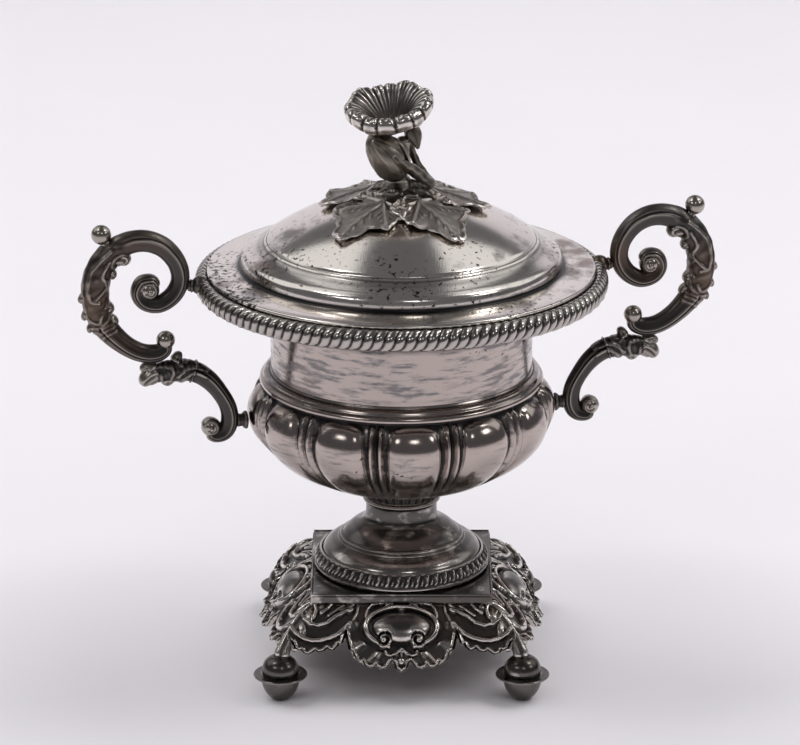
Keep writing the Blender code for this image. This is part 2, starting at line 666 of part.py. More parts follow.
def feet(parent):
    """Ball feet, each in two halves of one profile with a groove that holds the flange ring."""
    groove_r = BALL_R - 0.5 * MM
    ball = [(0.0, BALL_TOP_Z)]
    ball += arc((0.0, BALL_MID_Z), (BALL_R, BALL_TOP_Z - BALL_MID_Z), 66, 14, 2)
    ball += [(groove_r, BALL_MID_Z + 0.6 * MM), (groove_r, BALL_MID_Z - 0.6 * MM)]
    ball += arc((0.0, BALL_MID_Z), (BALL_R + 0.2 * MM, BALL_MID_Z + 0.7 * MM), -12, -50, 2)
    ball += [(FOOT_PAD_R, 0.0), (0.0, 0.0)]
    inner = groove_r + GAP
    ring = [(inner, BALL_MID_Z + 0.35 * MM), (FLANGE_R - 0.3 * MM, BALL_MID_Z + 0.35 * MM),
            (FLANGE_R, BALL_MID_Z), (FLANGE_R - 0.3 * MM, BALL_MID_Z - 0.35 * MM),
            (inner, BALL_MID_Z - 0.35 * MM)]
    for label, turn in CORNERS:
        place = Vector((FOOT_AT * sqrt(2) * cos(turn), FOOT_AT * sqrt(2) * sin(turn), 0.0))
        foot = turned("foot_ball_" + label, ball, DARK, 14, closed=False, parent=parent)
        foot.location = place
        flange = turned("foot_flange_" + label, ring, BRIGHT, 16, parent=parent)
        flange.location = place


def tie_fixing(parent):
    """Rod from under the bowl, with the washer and nut that hold the foot up to it."""
    head_top = BOWL_BOTTOM_Z - GAP
    rod = [(0.0, head_top), (3.5 * MM, head_top), (3.5 * MM, head_top - 1.4 * MM),
           (ROD_R, head_top - 1.8 * MM), (ROD_R, ROD_FOOT_Z), (0.0, ROD_FOOT_Z)]
    turned("tie_rod", rod, FITTING, 12, closed=False, parent=parent)
    hole = ROD_R + GAP
    top = PLINTH_TOP_Z - WALL - GAP
    washer = [(hole, top), (5.0 * MM, top), (5.0 * MM, top - 0.8 * MM), (hole, top - 0.8 * MM)]
    turned("tie_washer", washer, FITTING, 16, parent=parent)
    hex_nut("tie_nut", 4.2 * MM, hole, top - 4.3 * MM, top - 1.1 * MM, parent)


CORNERS = [("front_right", -pi / 4), ("back_right", pi / 4), ("back_left", 3 * pi / 4),
           ("front_left", -3 * pi / 4)]


def main():
    body = empty("bowl_axis", BOWL_TURN)
    bowl_shell(body)
    rim_border(body)
    handles(body)
    lid = empty("lid_axis")
    lid_shell(lid)
    lid_bezel(lid)
    finial(lid)
    finial_fixing(lid)
    stand = empty("stand_axis")
    pedestal_collar(stand)
    pedestal(stand)
    pedestal_border(stand)
    plinth(stand)
    aprons(stand)
    corner_legs(stand)
    feet(stand)
    tie_fixing(stand)


main()
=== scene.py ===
"""Covered silver sugar bowl: the finished look of every piece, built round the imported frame.

Laid out as an add-on: sizes and colours are properties, each group of pieces has its operator, and a
panel in the 3D view's sidebar lists them.  Lengths in the tables below are in millimetres.
"""

from math import cos, pi, radians, sin, sqrt

import bmesh
import bpy
import numpy as np
from bpy.props import FloatProperty, FloatVectorProperty, IntProperty, PointerProperty
from mathutils import Matrix, Vector


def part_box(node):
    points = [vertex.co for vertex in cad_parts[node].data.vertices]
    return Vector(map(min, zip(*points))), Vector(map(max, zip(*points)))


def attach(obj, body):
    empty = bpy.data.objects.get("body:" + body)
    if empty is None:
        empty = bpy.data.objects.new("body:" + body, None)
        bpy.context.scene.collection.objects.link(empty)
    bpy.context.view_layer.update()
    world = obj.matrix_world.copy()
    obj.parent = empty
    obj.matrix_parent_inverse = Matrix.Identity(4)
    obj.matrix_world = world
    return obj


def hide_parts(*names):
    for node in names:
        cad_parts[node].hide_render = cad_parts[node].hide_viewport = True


bl_info = {
    "name": "Silver Sugar Bowl",
    "version": (1, 0, 0),
    "blender": (4, 5, 0),
    "location": "3D View > Sidebar > Sugar Bowl",
    "description": "Builds the finished pieces of a covered silver sugar bowl on its frame",
    "category": "Object",
}

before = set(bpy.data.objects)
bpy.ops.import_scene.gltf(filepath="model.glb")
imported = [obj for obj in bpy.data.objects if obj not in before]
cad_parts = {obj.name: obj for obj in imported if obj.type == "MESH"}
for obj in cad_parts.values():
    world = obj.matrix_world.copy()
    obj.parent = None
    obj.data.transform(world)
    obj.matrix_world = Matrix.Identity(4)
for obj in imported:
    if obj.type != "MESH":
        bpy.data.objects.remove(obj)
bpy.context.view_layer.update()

MM = 0.001
TURN = radians(10.0)            # bowl and handles stand turned on the square foot
BOWL = "bowl"
LID = "lid"
RELIEF = "relief"               # vertex attribute: above 0 in hollows, below 0 on ridges
WELD = 0.004 * MM               # vertices closer than this are one
QUARTERS = {"front": 0.0, "right": pi / 2, "back": pi, "left": -pi / 2}
CORNERS = {"front_right": -pi / 4, "back_right": pi / 4, "back_left": 3 * pi / 4,
           "front_left": -3 * pi / 4}
SIDES = {"right": 0.0, "left": pi}


# ---------------------------------------------------------------- mesh helpers

def vertices_of(mesh):
    """Positions of the vertices as an array, in metres."""
    flat = np.empty(len(mesh.vertices) * 3)
    mesh.vertices.foreach_get("co", flat)
    return flat.reshape(-1, 3)


def move_vertices(mesh, points):
    """Set the positions of the vertices, in metres."""
    mesh.vertices.foreach_set("co", np.ascontiguousarray(points, dtype=float).ravel())
    mesh.update()


def polar(mesh):
    """Radius, height (millimetres) and angle (radians) of each vertex about +Z."""
    x, y, height = (vertices_of(mesh) / MM).T
    return np.hypot(x, y), height, np.arctan2(y, x)


def move_polar(mesh, radius, height, around):
    """Set the positions of the vertices from radius, height and angle about +Z."""
    points = np.stack([radius * np.cos(around), radius * np.sin(around), height], 1)
    move_vertices(mesh, points * MM)


def mesh_from(name, bm):
    """Turn a bmesh into a mesh and let go of it."""
    mesh = bpy.data.meshes.new(name)
    bm.to_mesh(mesh)
    bm.free()
    return mesh


def close_up(mesh):
    """Weld seams and poles, and point every face outwards."""
    bm = bmesh.new()
    bm.from_mesh(mesh)
    bmesh.ops.remove_doubles(bm, verts=bm.verts, dist=WELD)
    bmesh.ops.dissolve_degenerate(bm, edges=bm.edges, dist=WELD * 0.5)
    bmesh.ops.recalc_face_normals(bm, faces=bm.faces)
    bm.to_mesh(mesh)
    bm.free()
    return mesh


def chaikin(points, rounds=2):
    """Round the corners of an open outline by cutting them."""
    points = [np.array(p, float) for p in points]
    for _ in range(rounds):
        cut = [points[0]]
        for a, b in zip(points, points[1:]):
            cut.append(0.75 * a + 0.25 * b)
            cut.append(0.25 * a + 0.75 * b)
        cut.append(points[-1])
        points = cut
    return [tuple(p) for p in points]


def arc(centre, radius, start, end, steps):
    """Points on a circle in the outline's plane, angles in degrees."""
    return [(centre[0] + radius * cos(radians(start + (end - start) * i / steps)),
             centre[1] + radius * sin(radians(start + (end - start) * i / steps)))
            for i in range(steps + 1)]


def even(outline, longest):
    """Split long straight runs of an outline."""
    points = [outline[0]]
    for a, b in zip(outline, outline[1:]):
        count = max(1, int(np.ceil(np.hypot(b[0] - a[0], b[1] - a[1]) / longest)))
        points += [(a[0] + (b[0] - a[0]) * i / count, a[1] + (b[1] - a[1]) * i / count)
                   for i in range(1, count + 1)]
    return points


def spun(name, outline, steps, closed=False, sectors=1):
    """Spin an outline of (radius, height) in millimetres about +Z into a mesh.

    With more sectors, one sector of that many steps is spun and then copied round.
    """
    bm = bmesh.new()
    verts = [bm.verts.new((r * MM, 0.0, z * MM)) for r, z in outline]
    pairs = list(zip(verts, verts[1:]))
    if closed:
        pairs.append((verts[-1], verts[0]))
    edges = [bm.edges.new(pair) for pair in pairs]
    bmesh.ops.spin(bm, geom=verts + edges, cent=(0, 0, 0), axis=(0, 0, 1), angle=2 * pi / sectors,
                   steps=steps, use_merge=sectors == 1)
    mesh = bpy.data.meshes.new(name)
    bm.to_mesh(mesh)
    bm.clear()
    for _ in range(sectors):
        bm.from_mesh(mesh)
        mesh.transform(Matrix.Rotation(2 * pi / sectors, 4, "Z"))
    bm.to_mesh(mesh)
    bm.free()
    return close_up(mesh)


def sheet(name, columns, rows, place):
    """A flat grid whose points are moved by place(u, v), both from 0 to 1."""
    bm = bmesh.new()
    bmesh.ops.create_grid(bm, x_segments=columns, y_segments=rows, size=0.5)
    mesh = mesh_from(name, bm)
    flat = vertices_of(mesh)
    move_vertices(mesh, place(flat[:, 0] + 0.5, flat[:, 1] + 0.5) * MM)
    return close_up(mesh)


def thicken(mesh, thickness, towards=(0.0, 0.0, 1.0)):
    """Give an open sheet a wall behind the face that looks towards a direction."""
    bm = bmesh.new()
    bm.from_mesh(mesh)
    facing = sum((face.normal * face.calc_area() for face in bm.faces), Vector())
    if facing.dot(Vector(towards)) < 0.0:
        bmesh.ops.reverse_faces(bm, faces=bm.faces)
    bmesh.ops.solidify(bm, geom=bm.faces, thickness=thickness * MM)
    if bm.calc_volume(signed=True) < 0.0:
        bmesh.ops.reverse_faces(bm, faces=bm.faces)
    bm.to_mesh(mesh)
    bm.free()
    return mesh


def route_through(points, per_span=24):
    """A smooth curve through points of any length, spaced evenly along its length."""
    points = np.array(points, float)
    padded = np.vstack([2 * points[0] - points[1], points, 2 * points[-1] - points[-2]])
    parts = []
    steps = np.arange(per_span)[:, None] / per_span
    for p0, p1, p2, p3 in zip(padded, padded[1:], padded[2:], padded[3:]):
        parts.append(0.5 * (2 * p1 + (p2 - p0) * steps + (2 * p0 - 5 * p1 + 4 * p2 - p3) * steps ** 2
                            + (3 * p1 - p0 - 3 * p2 + p3) * steps ** 3))
    parts.append(points[-1:])
    route = np.vstack(parts)
    length = np.concatenate([[0.0], np.cumsum(np.linalg.norm(np.diff(route[:, :3], axis=0), axis=1))])
    return route, length


def swept(name, points, steps, around, across=(0.0, 1.0, 0.0), section=None, blunt=1.0):
    """A bar along points of (x, y, z, half width, half thickness).

    The thickness lies along the direction across, and the width square to it.  section(s, phi)
    gives factors for both and a lift of the skin in millimetres, with s from 0 to 1 along the bar.
    """
    route, length = route_through(points)
    total = length[-1]
    tangent = np.gradient(route[:, :3], length + np.arange(len(length)) * 1e-9, axis=0)
    tangent /= np.linalg.norm(tangent, axis=1)[:, None]
    flat = np.array(across, float)
    thick = flat - tangent * (tangent @ flat)[:, None]
    thick /= np.linalg.norm(thick, axis=1)[:, None]
    wide = np.cross(tangent, thick)

    def place(u, v):
        along = u * total
        phi = v * 2 * pi
        centre = np.stack([np.interp(along, length, route[:, i]) for i in range(3)], 1)
        n = np.stack([np.interp(along, length, wide[:, i]) for i in range(3)], 1)
        b = np.stack([np.interp(along, length, thick[:, i]) for i in range(3)], 1)
        width = np.interp(along, length, route[:, 3])
        depth = np.interp(along, length, route[:, 4])
        reach = np.maximum(blunt * np.minimum(width, depth), 0.05)
        end = np.minimum(along, total - along) / reach
        cap = np.sqrt(np.clip(1 - (1 - np.clip(end, 0, 1)) ** 2, 0, 1))
        fn, fb, lift = section(u, phi) if section else (1.0, 1.0, 0.0)
        x = (width * fn + lift) * np.cos(phi) * cap
        y = (depth * fb + lift) * np.sin(phi) * cap
        return centre + n * x[:, None] + b * y[:, None]

    return sheet(name, steps, around, place)


def joined(name, meshes):
    """One mesh in place of several."""
    bm = bmesh.new()
    for mesh in meshes:
        bm.from_mesh(mesh)
    whole = mesh_from(name, bm)
    for mesh in meshes:
        bpy.data.meshes.remove(mesh)
    return whole


def turned_copy(name, mesh, angle, shift=(0.0, 0.0, 0.0)):
    """A copy of a mesh, moved and then turned about +Z."""
    copy = mesh.copy()
    copy.name = name
    copy.transform(Matrix.Rotation(angle, 4, "Z") @ Matrix.Translation(shift))
    return copy


def ball(centre, radius, segments=28):
    """A ball at (x, y, z) in millimetres."""
    bm = bmesh.new()
    bmesh.ops.create_uvsphere(bm, u_segments=segments, v_segments=segments // 2, radius=radius * MM)
    bmesh.ops.translate(bm, verts=bm.verts, vec=Vector(centre) * MM)
    return mesh_from("ball", bm)


def mark_relief(mesh, depth, rounds):
    """Store how far each vertex lies below (+) or above (-) its smoothed surroundings."""
    points = vertices_of(mesh)
    count = len(points)
    pairs = np.empty(len(mesh.edges) * 2, dtype=np.int64)
    mesh.edges.foreach_get("vertices", pairs)
    a, b = pairs.reshape(-1, 2).T
    normals = np.empty(count * 3)
    mesh.vertices.foreach_get("normal", normals)
    links = np.maximum(np.bincount(a, minlength=count) + np.bincount(b, minlength=count), 1)
    level = points.copy()
    for _ in range(rounds):
        total = np.empty_like(level)
        for i in range(3):
            total[:, i] = (np.bincount(a, level[b, i], count) + np.bincount(b, level[a, i], count))
        level = 0.3 * level + 0.7 * total / links[:, None]
    lift = ((level - points) * normals.reshape(-1, 3)).sum(1) / (depth * MM)
    layer = mesh.attributes.get(RELIEF) or mesh.attributes.new(RELIEF, "FLOAT", "POINT")
    layer.data.foreach_set("value", np.clip(lift, -1.5, 1.5).astype(np.float32))


def piece(mesh, nodes, body, material, depth, rounds):
    """Make the finished piece, let it ride on its body and stand for its frame nodes."""
    mesh.shade_smooth()
    mark_relief(mesh, depth, rounds)
    mesh.materials.clear()
    mesh.materials.append(bpy.data.materials[material])
    obj = bpy.data.objects.new(mesh.name, mesh)
    bpy.context.scene.collection.objects.link(obj)
    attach(obj, body)
    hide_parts(*nodes)
    return obj


def smoothstep(low, high, x):
    """Rise smoothly from 0 at low to 1 at high."""
    t = np.clip((x - low) / (high - low), 0.0, 1.0)
    return t * t * (3 - 2 * t)


def bump(x, width):
    """A bell of height 1 round x = 0."""
    return np.exp(-(x / width) ** 2)


# ---------------------------------------------------------------- finishes

def socket(group, name, kind, default=None, output=False):
    """Give a node group an input or an output."""
    entry = group.interface.new_socket(name=name, in_out="OUTPUT" if output else "INPUT",
                                       socket_type=kind)
    if default is not None:
        entry.default_value = default


def node(tree, kind, place, **settings):
    """Add a node at a place in the editor, with its settings."""
    made = tree.nodes.new(kind)
    made.location = place
    for key, value in settings.items():
        setattr(made, key, value)
    return made


def maths(tree, operation, first, second, place, clamp=False):
    """Output of a Math node on two numbers or sockets."""
    made = node(tree, "ShaderNodeMath", place, operation=operation, use_clamp=clamp)
    for i, value in enumerate((first, second)):
        if isinstance(value, (int, float)):
            made.inputs[i].default_value = value
        else:
            tree.links.new(value, made.inputs[i])
    return made.outputs[0]


def noise(tree, vector, scale, detail, place, roughness=0.5):
    """Output of a noise texture, whose scale is a number or a socket."""
    made = node(tree, "ShaderNodeTexNoise", place)
    made.inputs["Detail"].default_value = detail
    made.inputs["Roughness"].default_value = roughness
    tree.links.new(vector, made.inputs["Vector"])
    if isinstance(scale, float):
        made.inputs["Scale"].default_value = scale
    else:
        tree.links.new(scale, made.inputs["Scale"])
    return made.outputs[0]


def ranged(tree, value, source, target, place):
    """Output of a Map Range node that takes one (low, high) to another."""
    made = node(tree, "ShaderNodeMapRange", place)
    for label, number in zip(("From Min", "From Max", "To Min", "To Max"), (*source, *target)):
        made.inputs[label].default_value = number
    tree.links.new(value, made.inputs["Value"])
    return made.outputs[0]


def blend_colour(tree, factor, first, second, place):
    """Output of a colour mix of two colours or sockets."""
    made = node(tree, "ShaderNodeMix", place, data_type="RGBA")
    tree.links.new(factor, made.inputs["Factor"])
    for label, value in (("A", first), ("B", second)):
        entry = [s for s in made.inputs if s.name == label and s.type == "RGBA"][0]
        if isinstance(value, tuple):
            entry.default_value = value
        else:
            tree.links.new(value, entry)
    return [s for s in made.outputs if s.type == "RGBA"][0]


FILM_LEVEL = 1.32               # noise at which film begins when its amount is 0
FILM_CONTRAST = 7.0
BROAD_SHARE = 0.7               # weight of the broad patches in the film
EDGE_LEVEL = 0.13               # relief below which a ridge isn't rubbed
PIT_LEVEL = 1.28                # noise at which a pit begins when their amount is 0
PIT_CONTRAST = 9.0
SCRATCH_DEPTH = 0.05            # heights, as shares of a dent's
PIT_DEPTH = 0.06


def tarnish_group():
    """Colour and roughness of silver that has darkened in its hollows and rubbed bright on its edges."""
    group = bpy.data.node_groups.new("Tarnish", "ShaderNodeTree")
    for name, kind, default in (("Polished", "NodeSocketColor", (0.8, 0.8, 0.8, 1)),
                                ("Film", "NodeSocketColor", (0.3, 0.3, 0.3, 1)),
                                ("Deep", "NodeSocketColor", (0.05, 0.05, 0.05, 1)),
                                ("Warm", "NodeSocketColor", (0.3, 0.2, 0.15, 1)),
                                ("Film Amount", "NodeSocketFloat", 0.3),
                                ("Hollow", "NodeSocketFloat", 1.0),
                                ("Edge", "NodeSocketFloat", 1.0),
                                ("Scale", "NodeSocketFloat", 60.0),
                                ("Stretch", "NodeSocketVector", (1.0, 1.0, 1.0))):
        socket(group, name, kind, default)
    socket(group, "Colour", "NodeSocketColor", output=True)
    socket(group, "Film Mask", "NodeSocketFloat", output=True)
    given = node(group, "NodeGroupInput", (-1400, 0))
    result = node(group, "NodeGroupOutput", (900, 0))
    link = group.links.new
    place = node(group, "ShaderNodeTexCoord", (-1400, 400))
    mapping = node(group, "ShaderNodeMapping", (-1200, 400))
    link(place.outputs["Object"], mapping.inputs["Vector"])
    link(given.outputs["Stretch"], mapping.inputs["Scale"])
    patches = noise(group, mapping.outputs[0], given.outputs["Scale"], 6.0, (-1000, 400), roughness=0.62)
    broad = noise(group, place.outputs["Object"], 22.0, 3.0, (-1000, 150))
    relief = node(group, "ShaderNodeAttribute", (-1200, -250), attribute_name=RELIEF)
    uneven = maths(group, "SUBTRACT", patches, 0.5, (-1100, -400))
    uneven = maths(group, "MULTIPLY", uneven, 0.5, (-900, -350))
    hollow = maths(group, "MULTIPLY", relief.outputs["Fac"], given.outputs["Hollow"], (-900, -200))
    hollow = maths(group, "ADD", hollow, uneven, (-700, -200))
    hollow = ranged(group, hollow, (0.06, 0.75), (0.0, 1.0), (-450, -200))
    edge = maths(group, "MULTIPLY", relief.outputs["Fac"], -1.0, (-1050, -500))
    edge = maths(group, "SUBTRACT", edge, EDGE_LEVEL, (-900, -500))
    edge = maths(group, "MULTIPLY", edge, given.outputs["Edge"], (-700, -500), clamp=True)
    film = maths(group, "ADD", patches, maths(group, "MULTIPLY", broad, BROAD_SHARE, (-800, 150)),
                 (-600, 250))
    film = maths(group, "SUBTRACT", film, FILM_LEVEL, (-450, 250))
    film = maths(group, "ADD", film, given.outputs["Film Amount"], (-300, 250))
    film = maths(group, "MULTIPLY", film, FILM_CONTRAST, (-150, 250), clamp=True)
    film = maths(group, "SUBTRACT", film, edge, (0, 250), clamp=True)
    warm = ranged(group, broad, (0.52, 0.72), (0.0, 1.0), (-450, 0))
    warm = maths(group, "MULTIPLY", warm, film, (-200, 0))
    warm = maths(group, "MULTIPLY", warm, 0.7, (0, 0))
    colour = blend_colour(group, film, given.outputs["Polished"], given.outputs["Film"], (150, 250))
    colour = blend_colour(group, warm, colour, given.outputs["Warm"], (300, 150))
    colour = blend_colour(group, hollow, colour, given.outputs["Deep"], (450, 0))
    rubbed = maths(group, "MULTIPLY", edge, 0.85, (300, -400))
    colour = blend_colour(group, rubbed, colour, given.outputs["Polished"], (600, -100))
    link(colour, result.inputs["Colour"])
    link(maths(group, "MAXIMUM", film, hollow, (600, -350), clamp=True), result.inputs["Film Mask"])


def scratches_group():
    """Fine scratches, small dents and pits as a height, and a mask of the pits."""
    group = bpy.data.node_groups.new("Handling Marks", "ShaderNodeTree")
    for name, default in (("Scratch Scale", 300.0), ("Dent Scale", 25.0), ("Pit Scale", 700.0),
                          ("Pit Amount", 0.3)):
        socket(group, name, "NodeSocketFloat", default)
    socket(group, "Height", "NodeSocketFloat", output=True)
    socket(group, "Pits", "NodeSocketFloat", output=True)
    given = node(group, "NodeGroupInput", (-1200, 0))
    result = node(group, "NodeGroupOutput", (800, 0))
    link = group.links.new
    place = node(group, "ShaderNodeTexCoord", (-1200, 300)).outputs["Object"]
    heights = []
    for i, (turn, stretch) in enumerate((((0.3, 0.1, 0.4), (1.0, 1.0, 14.0)),
                                         ((0.9, 0.5, 1.9), (16.0, 1.0, 1.0)))):
        mapping = node(group, "ShaderNodeMapping", (-1000, 300 - 250 * i))
        mapping.inputs["Rotation"].default_value = turn
        mapping.inputs["Scale"].default_value = stretch
        link(place, mapping.inputs["Vector"])
        streak = noise(group, mapping.outputs[0], given.outputs["Scratch Scale"], 3.0,
                       (-800, 300 - 250 * i))
        heights.append(maths(group, "MULTIPLY", streak, SCRATCH_DEPTH, (-500, 300 - 200 * i)))
    dents = noise(group, place, given.outputs["Dent Scale"], 1.0, (-800, -250))
    specks = noise(group, place, given.outputs["Pit Scale"], 2.0, (-800, -500))
    zones = noise(group, place, 30.0, 3.0, (-800, -750))
    amount = maths(group, "MULTIPLY", zones, 0.8, (-600, -750))
    amount = maths(group, "ADD", amount, given.outputs["Pit Amount"], (-450, -700))
    pits = maths(group, "ADD", specks, amount, (-300, -550))
    pits = maths(group, "SUBTRACT", pits, PIT_LEVEL, (-150, -550))
    pits = maths(group, "MULTIPLY", pits, PIT_CONTRAST, (0, -550), clamp=True)
    total = maths(group, "ADD", heights[0], heights[1], (-300, 200))
    total = maths(group, "ADD", total, dents, (-150, 100))
    sunk = maths(group, "MULTIPLY", pits, PIT_DEPTH, (150, -300))
    total = maths(group, "SUBTRACT", total, sunk, (300, 0))
    link(total, result.inputs["Height"])
    link(pits, result.inputs["Pits"])


def metal(name, colours, film, hollow, edge, scale, rough, stretch=(1.0, 1.0, 1.0), pits=0.0,
          dent=0.3, dent_scale=25.0):
    """A metal finish: the tarnish and handling groups feed one Principled shader.

    colours are polished, film, oxide and warm film; rough is the roughness without and with film.
    """
    material = bpy.data.materials.new(name)
    material.use_nodes = True
    tree = material.node_tree
    link = tree.links.new
    shader = tree.nodes["Principled BSDF"]
    shader.inputs["Metallic"].default_value = 1.0
    tarnish = node(tree, "ShaderNodeGroup", (-900, 200), node_tree=bpy.data.node_groups["Tarnish"])
    for label, colour in zip(("Polished", "Film", "Deep", "Warm"), colours):
        tarnish.inputs[label].default_value = (*colour, 1.0)
    for label, value in (("Film Amount", film), ("Hollow", hollow), ("Edge", edge), ("Scale", scale),
                         ("Stretch", stretch)):
        tarnish.inputs[label].default_value = value
    marks = node(tree, "ShaderNodeGroup", (-900, -300),
                 node_tree=bpy.data.node_groups["Handling Marks"])
    marks.inputs["Pit Amount"].default_value = pits
    marks.inputs["Dent Scale"].default_value = dent_scale
    pitted = blend_colour(tree, marks.outputs["Pits"], tarnish.outputs["Colour"],
                          (*colours[2], 1.0), (-500, 200))
    link(pitted, shader.inputs["Base Color"])
    dull = maths(tree, "MAXIMUM", tarnish.outputs["Film Mask"], marks.outputs["Pits"], (-700, -50))
    link(ranged(tree, dull, (0.0, 1.0), rough, (-500, -50)), shader.inputs["Roughness"])
    dents = node(tree, "ShaderNodeBump", (-500, -350))
    dents.inputs["Strength"].default_value = dent
    dents.inputs["Distance"].default_value = 0.6 * MM
    link(marks.outputs["Height"], dents.inputs["Height"])
    link(dents.outputs[0], shader.inputs["Normal"])


# ---------------------------------------------------------------- user properties

def widest(name):
    """Largest distance of a frame node from the axis, along X or Y."""
    low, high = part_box(name)
    return max(-low.x, high.x, -low.y, high.y)


class SugarBowlSizes(bpy.types.PropertyGroup):
    """Sizes that a maker would change."""
    lobes: IntProperty(name="Belly Lobes", description="Lobes round the belly", default=12, min=6, max=24)
    lobe_depth: FloatProperty(name="Lobe Depth", description="Depth of the grooves between lobes",
                              default=2.8 * MM, min=0.0, unit="LENGTH")
    gadroons: IntProperty(name="Gadroons", description="Slanted ridges round the mouth border",
                          default=124, min=40, max=180)
    gadroon_depth: FloatProperty(name="Gadroon Depth", description="Depth between two ridges",
                                 default=0.85 * MM, min=0.0, unit="LENGTH")
    border_radius: FloatProperty(name="Border Radius", description="Outer radius of the mouth border",
                                 default=widest("rim_border"), unit="LENGTH")
    lid_radius: FloatProperty(name="Lid Radius", description="Outer radius of the lid's brim",
                              default=widest("lid_shell"), unit="LENGTH")
    flower_lobes: IntProperty(name="Flower Lobes", description="Scallops round the flower's lip",
                              default=16, min=5, max=24)


def colour_property(name, description, default):
    """A colour that the user can change."""
    return FloatVectorProperty(name=name, description=description, default=default, subtype="COLOR",
                               min=0.0, max=1.0)


class SugarBowlColours(bpy.types.PropertyGroup):
    """Colours of the finishes and the floor."""
    polished: colour_property("Polished Silver", "Clean, rubbed silver", (0.90, 0.84, 0.78))
    film: colour_property("Film", "Thin grey tarnish on smooth silver", (0.34, 0.32, 0.31))
    warm: colour_property("Warm Film", "Brown tarnish in patches", (0.40, 0.28, 0.21))
    cast_film: colour_property("Cast Silver", "Tarnished body of the castings", (0.118, 0.109, 0.103))
    cast_edge: colour_property("Cast Edges", "Rubbed edges of the castings", (0.72, 0.67, 0.62))
    deep: colour_property("Oxide", "Oxide in the hollows", (0.035, 0.032, 0.032))
    floor: colour_property("Floor", "Plain floor", (0.80, 0.775, 0.81))


class SUGARBOWL_OT_finishes(bpy.types.Operator):
    """Make the silver and brass finishes"""
    bl_idname = "sugarbowl.finishes"
    bl_label = "Finishes"

    def execute(self, context):
        colours = context.scene.sugarbowl_colours
        tarnish_group()
        scratches_group()
        deep = tuple(colours.deep)
        smooth = (tuple(colours.polished), tuple(colours.film), deep, tuple(colours.warm))
        cast = (tuple(colours.cast_edge), tuple(colours.cast_film), deep, (0.15, 0.105, 0.08))
        worn = ((0.485, 0.42, 0.385), (0.22, 0.21, 0.215), deep, (0.34, 0.26, 0.21))
        dark = ((0.58, 0.54, 0.50), (0.118, 0.109, 0.102), deep, (0.09, 0.062, 0.042))
        rim = ((0.50, 0.465, 0.43), (0.10, 0.093, 0.088), deep, (0.15, 0.10, 0.07))
        black = ((0.42, 0.38, 0.34), (0.072, 0.066, 0.063), (0.03, 0.028, 0.028), (0.15, 0.095, 0.065))
        twig_brown = ((0.50, 0.46, 0.41), (0.115, 0.102, 0.088), (0.035, 0.031, 0.028), (0.2, 0.15, 0.1))
        leaf_grey = ((0.86, 0.80, 0.75), (0.40, 0.36, 0.33), (0.10, 0.088, 0.075), (0.38, 0.28, 0.22))
        yellow = ((0.72, 0.55, 0.28), (0.35, 0.25, 0.13), (0.06, 0.045, 0.03), (0.3, 0.2, 0.1))
        metal("raised silver", worn, film=0.48, hollow=1.7, edge=0.6, scale=120.0, rough=(0.15, 0.32),
              stretch=(1.0, 1.0, 5.5), pits=0.13, dent=0.35)
        metal("lid silver", smooth, film=0.41, hollow=1.2, edge=0.5, scale=70.0, rough=(0.15, 0.3),
              stretch=(1.0, 1.0, 1.6), pits=0.26, dent=0.35)
        metal("foot silver", dark, film=0.67, hollow=0.9, edge=1.5, scale=120.0, rough=(0.12, 0.24),
              stretch=(1.0, 1.0, 1.6), pits=0.12)
        metal("cast silver", cast, film=1.0, hollow=0.6, edge=2.0, scale=160.0, rough=(0.17, 0.32),
              dent_scale=160.0)
        metal("border silver", rim, film=0.97, hollow=0.9, edge=1.1, scale=160.0, rough=(0.15, 0.28),
              dent_scale=160.0)
        metal("handle silver", black, film=0.98, hollow=0.7, edge=0.8, scale=130.0, rough=(0.22, 0.35),
              dent=0.4, dent_scale=160.0)
        metal("twig silver", twig_brown, film=0.96, hollow=0.7, edge=0.7, scale=180.0,
              rough=(0.26, 0.42), pits=0.05, dent=0.45, dent_scale=220.0)
        metal("leaf silver", leaf_grey, film=0.86, hollow=0.55, edge=0.8, scale=150.0,
              rough=(0.24, 0.38), pits=0.1, dent=0.45, dent_scale=260.0)
        metal("brass", yellow, film=0.45, hollow=0.4, edge=0.4, scale=200.0, rough=(0.25, 0.5))
        return {"FINISHED"}


# ---------------------------------------------------------------- bowl and mouth border

BELLY_CROWN = [(43.8, 83.7), (44.3, 82.6),
               (44.7, 81.4), (45.1, 79.8), (45.3, 78.2), (45.25, 76.7), (45.0, 75.2), (44.5, 73.6),
               (43.7, 71.8), (42.6, 70.0), (41.2, 68.2), (39.4, 66.3), (37.2, 64.4), (34.6, 62.5),
               (31.6, 60.7), (28.4, 59.1), (25.0, 57.7), (21.5, 56.5), (18.0, 55.6), (15.5, 55.1),
               (14.2, 54.9), (0.0, 54.8)]


